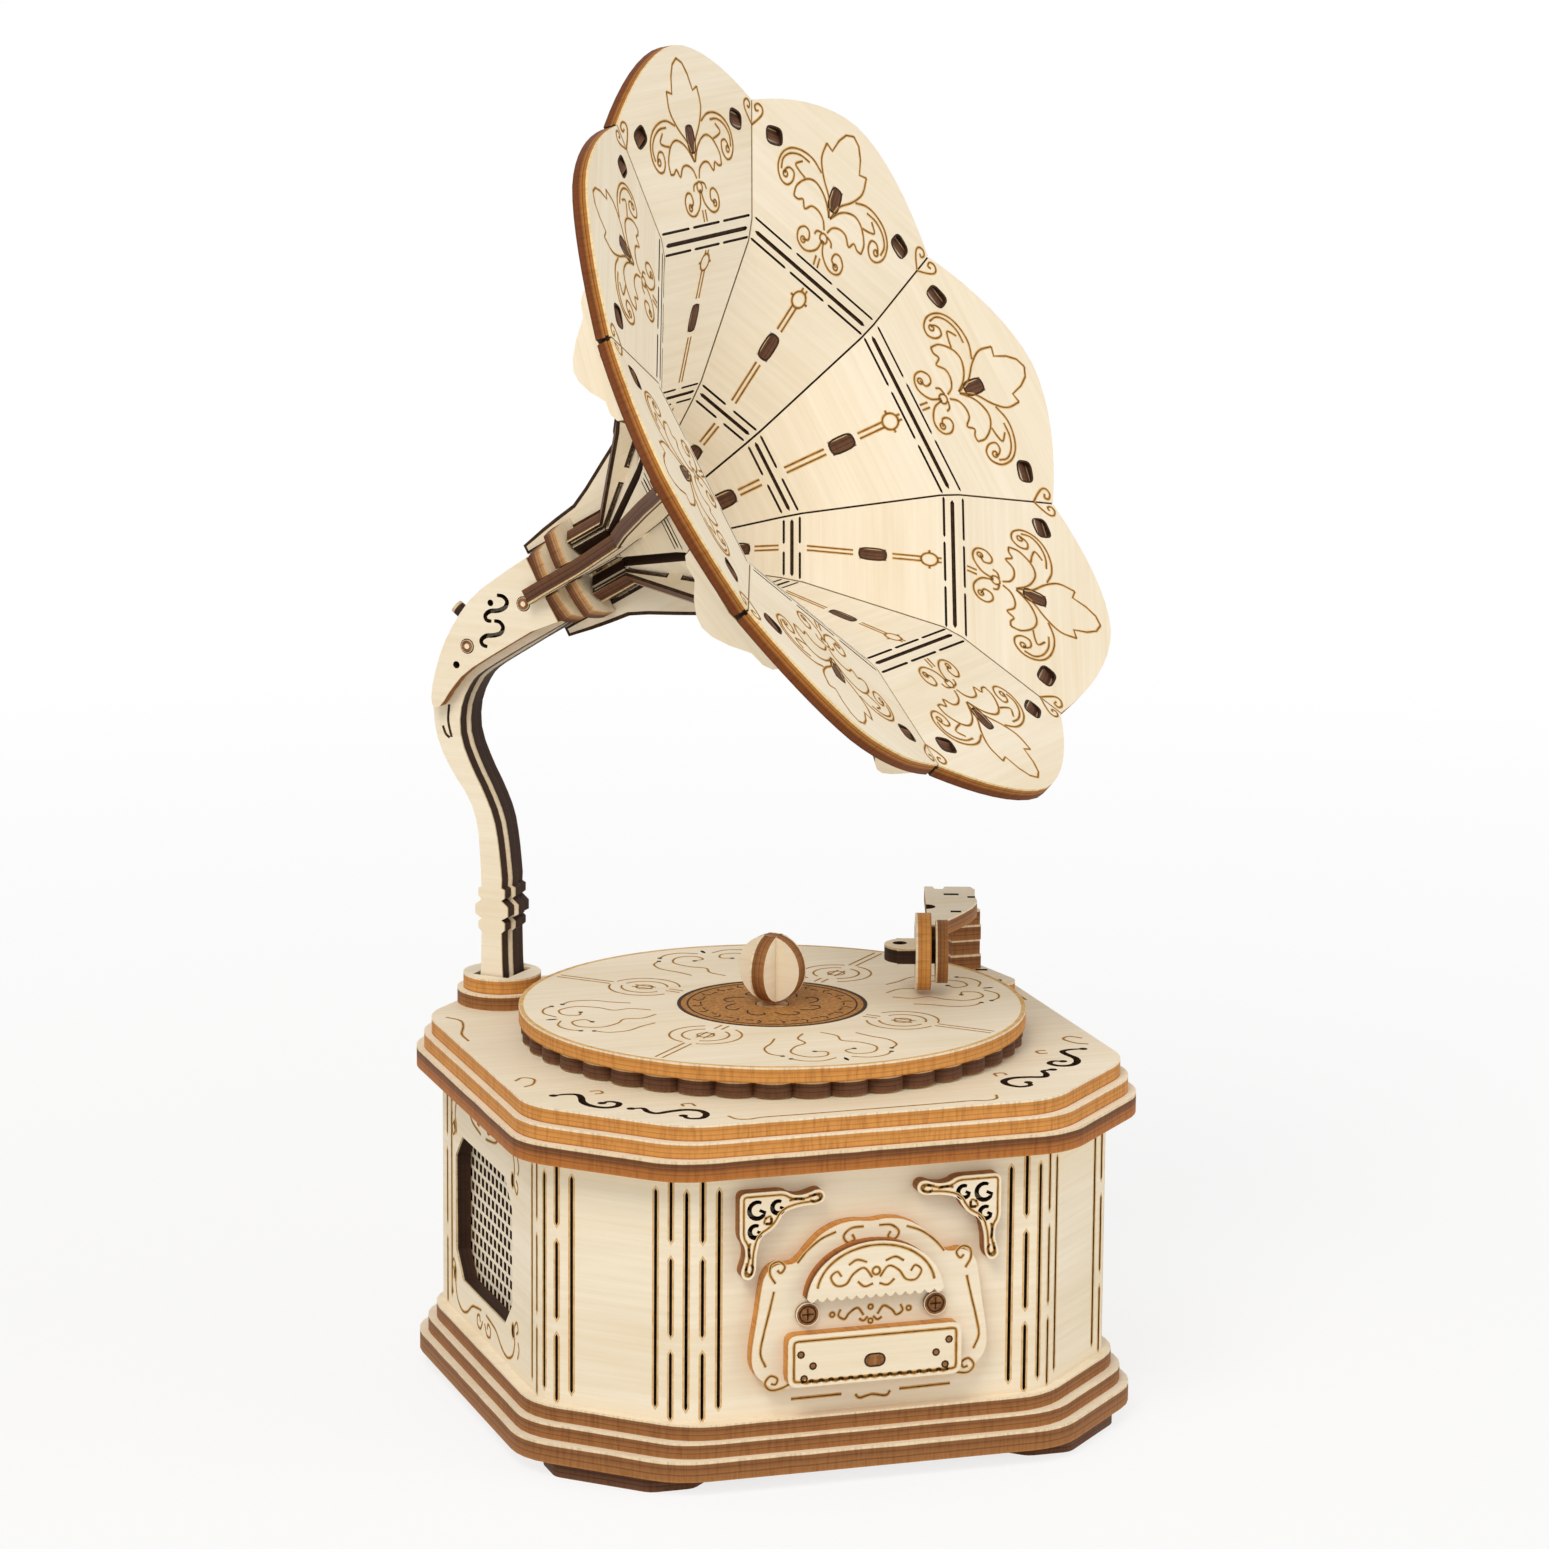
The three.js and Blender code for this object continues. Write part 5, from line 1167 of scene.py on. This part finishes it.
# a dark strip a little under the face closes each seam and is the floor of each slit: painted shade where the
# real seams and slits are open
shadeStripLines += [[(side * fold.x * sideShare, run) for fold, run in zip(folds[1:], foldRuns[1:])]
              for side in (-1, 1)]
shadeStrips = score(shadeStripLines, 0.7, 0.2)
for number in range(1, 9):
    angle = math.pi + 2 * (number - 1) * halfStep
    bend, _ = gorePlace(angle)
    layPiece(f"engraved_gore_{number}", [(gore, bend), (shadeStrips, sunk(bend, horn["stripSunk"]))],
             node=f"horn_gore_{number}")
    rib = f"horn_rib_{number}"
    bend, rings, thickness = flatNode(rib, hornAxis, hornRadial(angle), hornCentre)
    scorch = score([closedLine(insetRing(rings[0], 0.2))], 0.46, 0.02)
    ribFlat = joinFlats(cutSheet(rings, thickness, "umber"), scorch)
    layPiece("dressed_" + rib, [(ribFlat, bend), (scorch, sunk(bend, thickness))], node=rib)
    bridge = f"petal_bridge_{number}"
    outward = hornRadial(math.pi + (2 * number - 1) * halfStep)
    bend, rings, thickness = flatNode(bridge, hornAxis.cross(outward), hornAxis, hornCentre)
    tabEnd = max(y for _, y in rings[0]) - horn["tabSunk"]
    outline = [(x, min(y, tabEnd)) for x, y in rings[0]]
    layPiece("dressed_" + bridge, [(cutSheet([outline], thickness, "umber"), bend)], node=bridge)
for name in ("rear", "front"):
    plate("collar_ring_" + name, "tanned", view=(hornDown, neckAcross), origin=hornCentre)
print("horn dressed")


# Studio: white floor, one large soft lamp from the upper left, a weaker one from the right
studio = {
    "floorRadius": 8.0, "world": 0.52, "clear": 0.12, "white": 0.5, "clearShare": 0.78,
    "lookAt": (0, 0, 0.09), "azimuth": -18.304, "elevation": 11.944, "distance": 793.8, "roll": 0.424,
    "lens": 144.6, "lookRight": 0.076, "lookHeight": 81.4,
}
lamps = {"key": ((-0.52, -0.62, 0.95), 6.6, 0.5, "#FFFBF5"),
         "fill": ((0.75, -0.5, 0.35), 1.9, 0.7, "#FFFFFF")}


def linked(name, data):
    item = bpy.data.objects.new(name, data)
    bpy.context.collection.objects.link(item)
    return item


# Whether a ray is one of the given kinds.
def seenBy(tree, *kinds):
    rays = addNode(tree, "ShaderNodeLightPath", None, None).outputs
    seen = rays[kinds[0]]
    for kind in kinds[1:]:
        seen = addNode(tree, "ShaderNodeMath", {0: seen, 1: rays[kind]}, operation="MAXIMUM")
    return seen


floorMesh = bpy.data.meshes.new("floor")
floorRing = circleRing(0, 0, studio["floorRadius"], 48)
floorMesh.from_pydata([(x, y, 0) for x, y in floorRing], [], [list(range(len(floorRing)))])
paper, tree = startMaterial("white_paper")
spot = addNode(tree, "ShaderNodeTexCoord", None, "Object")
away = addNode(tree, "ShaderNodeVectorMath", {0: spot}, "Value", operation="LENGTH")
white = addNode(tree, "ShaderNodeMapRange",
                {0: away, 1: studio["clear"], 2: studio["white"], 3: studio["clearShare"], 4: 1.0})
seen = seenBy(tree, "Is Camera Ray", "Is Glossy Ray")
share = addNode(tree, "ShaderNodeMath", {0: seen, 1: white}, operation="MULTIPLY")
matte = addNode(tree, "ShaderNodeBsdfDiffuse", {"Color": hexColour("#F4F4F2")})
glow = addNode(tree, "ShaderNodeEmission", {"Color": (1, 1, 1, 1), "Strength": 1})
mixed = addNode(tree, "ShaderNodeMixShader", {0: share, 1: matte, 2: glow})
addNode(tree, "ShaderNodeOutputMaterial", {0: mixed})
floorMesh.materials.append(paper)
linked("floor", floorMesh)

world = bpy.data.worlds.new("studio")
bpy.context.scene.world = world
world.use_nodes = True
tree = world.node_tree
tree.nodes.clear()
seen = seenBy(tree, "Is Camera Ray", "Is Glossy Ray", "Is Transmission Ray")
strength = addNode(tree, "ShaderNodeMapRange", {0: seen, 3: studio["world"], 4: 1.0})
sky = addNode(tree, "ShaderNodeBackground", {"Color": (1, 1, 1, 1), "Strength": strength})
addNode(tree, "ShaderNodeOutputWorld", {0: sky})

for name, (place, power, size, tint) in lamps.items():
    lamp = bpy.data.lights.new(name, "AREA")
    lamp.energy, lamp.size, lamp.color = power, size, hexColour(tint)[:3]
    holder = linked(name, lamp)
    holder.location = place
    holder.rotation_mode = "QUATERNION"
    holder.rotation_quaternion = (Vector(studio["lookAt"]) - Vector(place)).to_track_quat("-Z", "Y")

azimuth, elevation, roll = (math.radians(studio[key]) for key in ("azimuth", "elevation", "roll"))
back = Vector((math.sin(azimuth) * math.cos(elevation), -math.cos(azimuth) * math.cos(elevation),
               math.sin(elevation)))
level = Vector((math.cos(azimuth), math.sin(azimuth), 0))
upright = back.cross(level)
right = level * math.cos(roll) + upright * math.sin(roll)
up = upright * math.cos(roll) - level * math.sin(roll)
target = axis + level * studio["lookRight"] + zAxis * studio["lookHeight"]
lens = bpy.data.cameras.new("camera")
lens.lens, lens.sensor_width, lens.clip_end = studio["lens"], 36, 50
camera = linked("camera", lens)
camera.matrix_world = (Matrix.Translation((target + back * studio["distance"]) * mm)
                       @ Matrix((right, up, back)).transposed().to_4x4())
bpy.context.scene.camera = camera
bpy.context.scene.view_settings.view_transform = "Standard"

print("studio set")
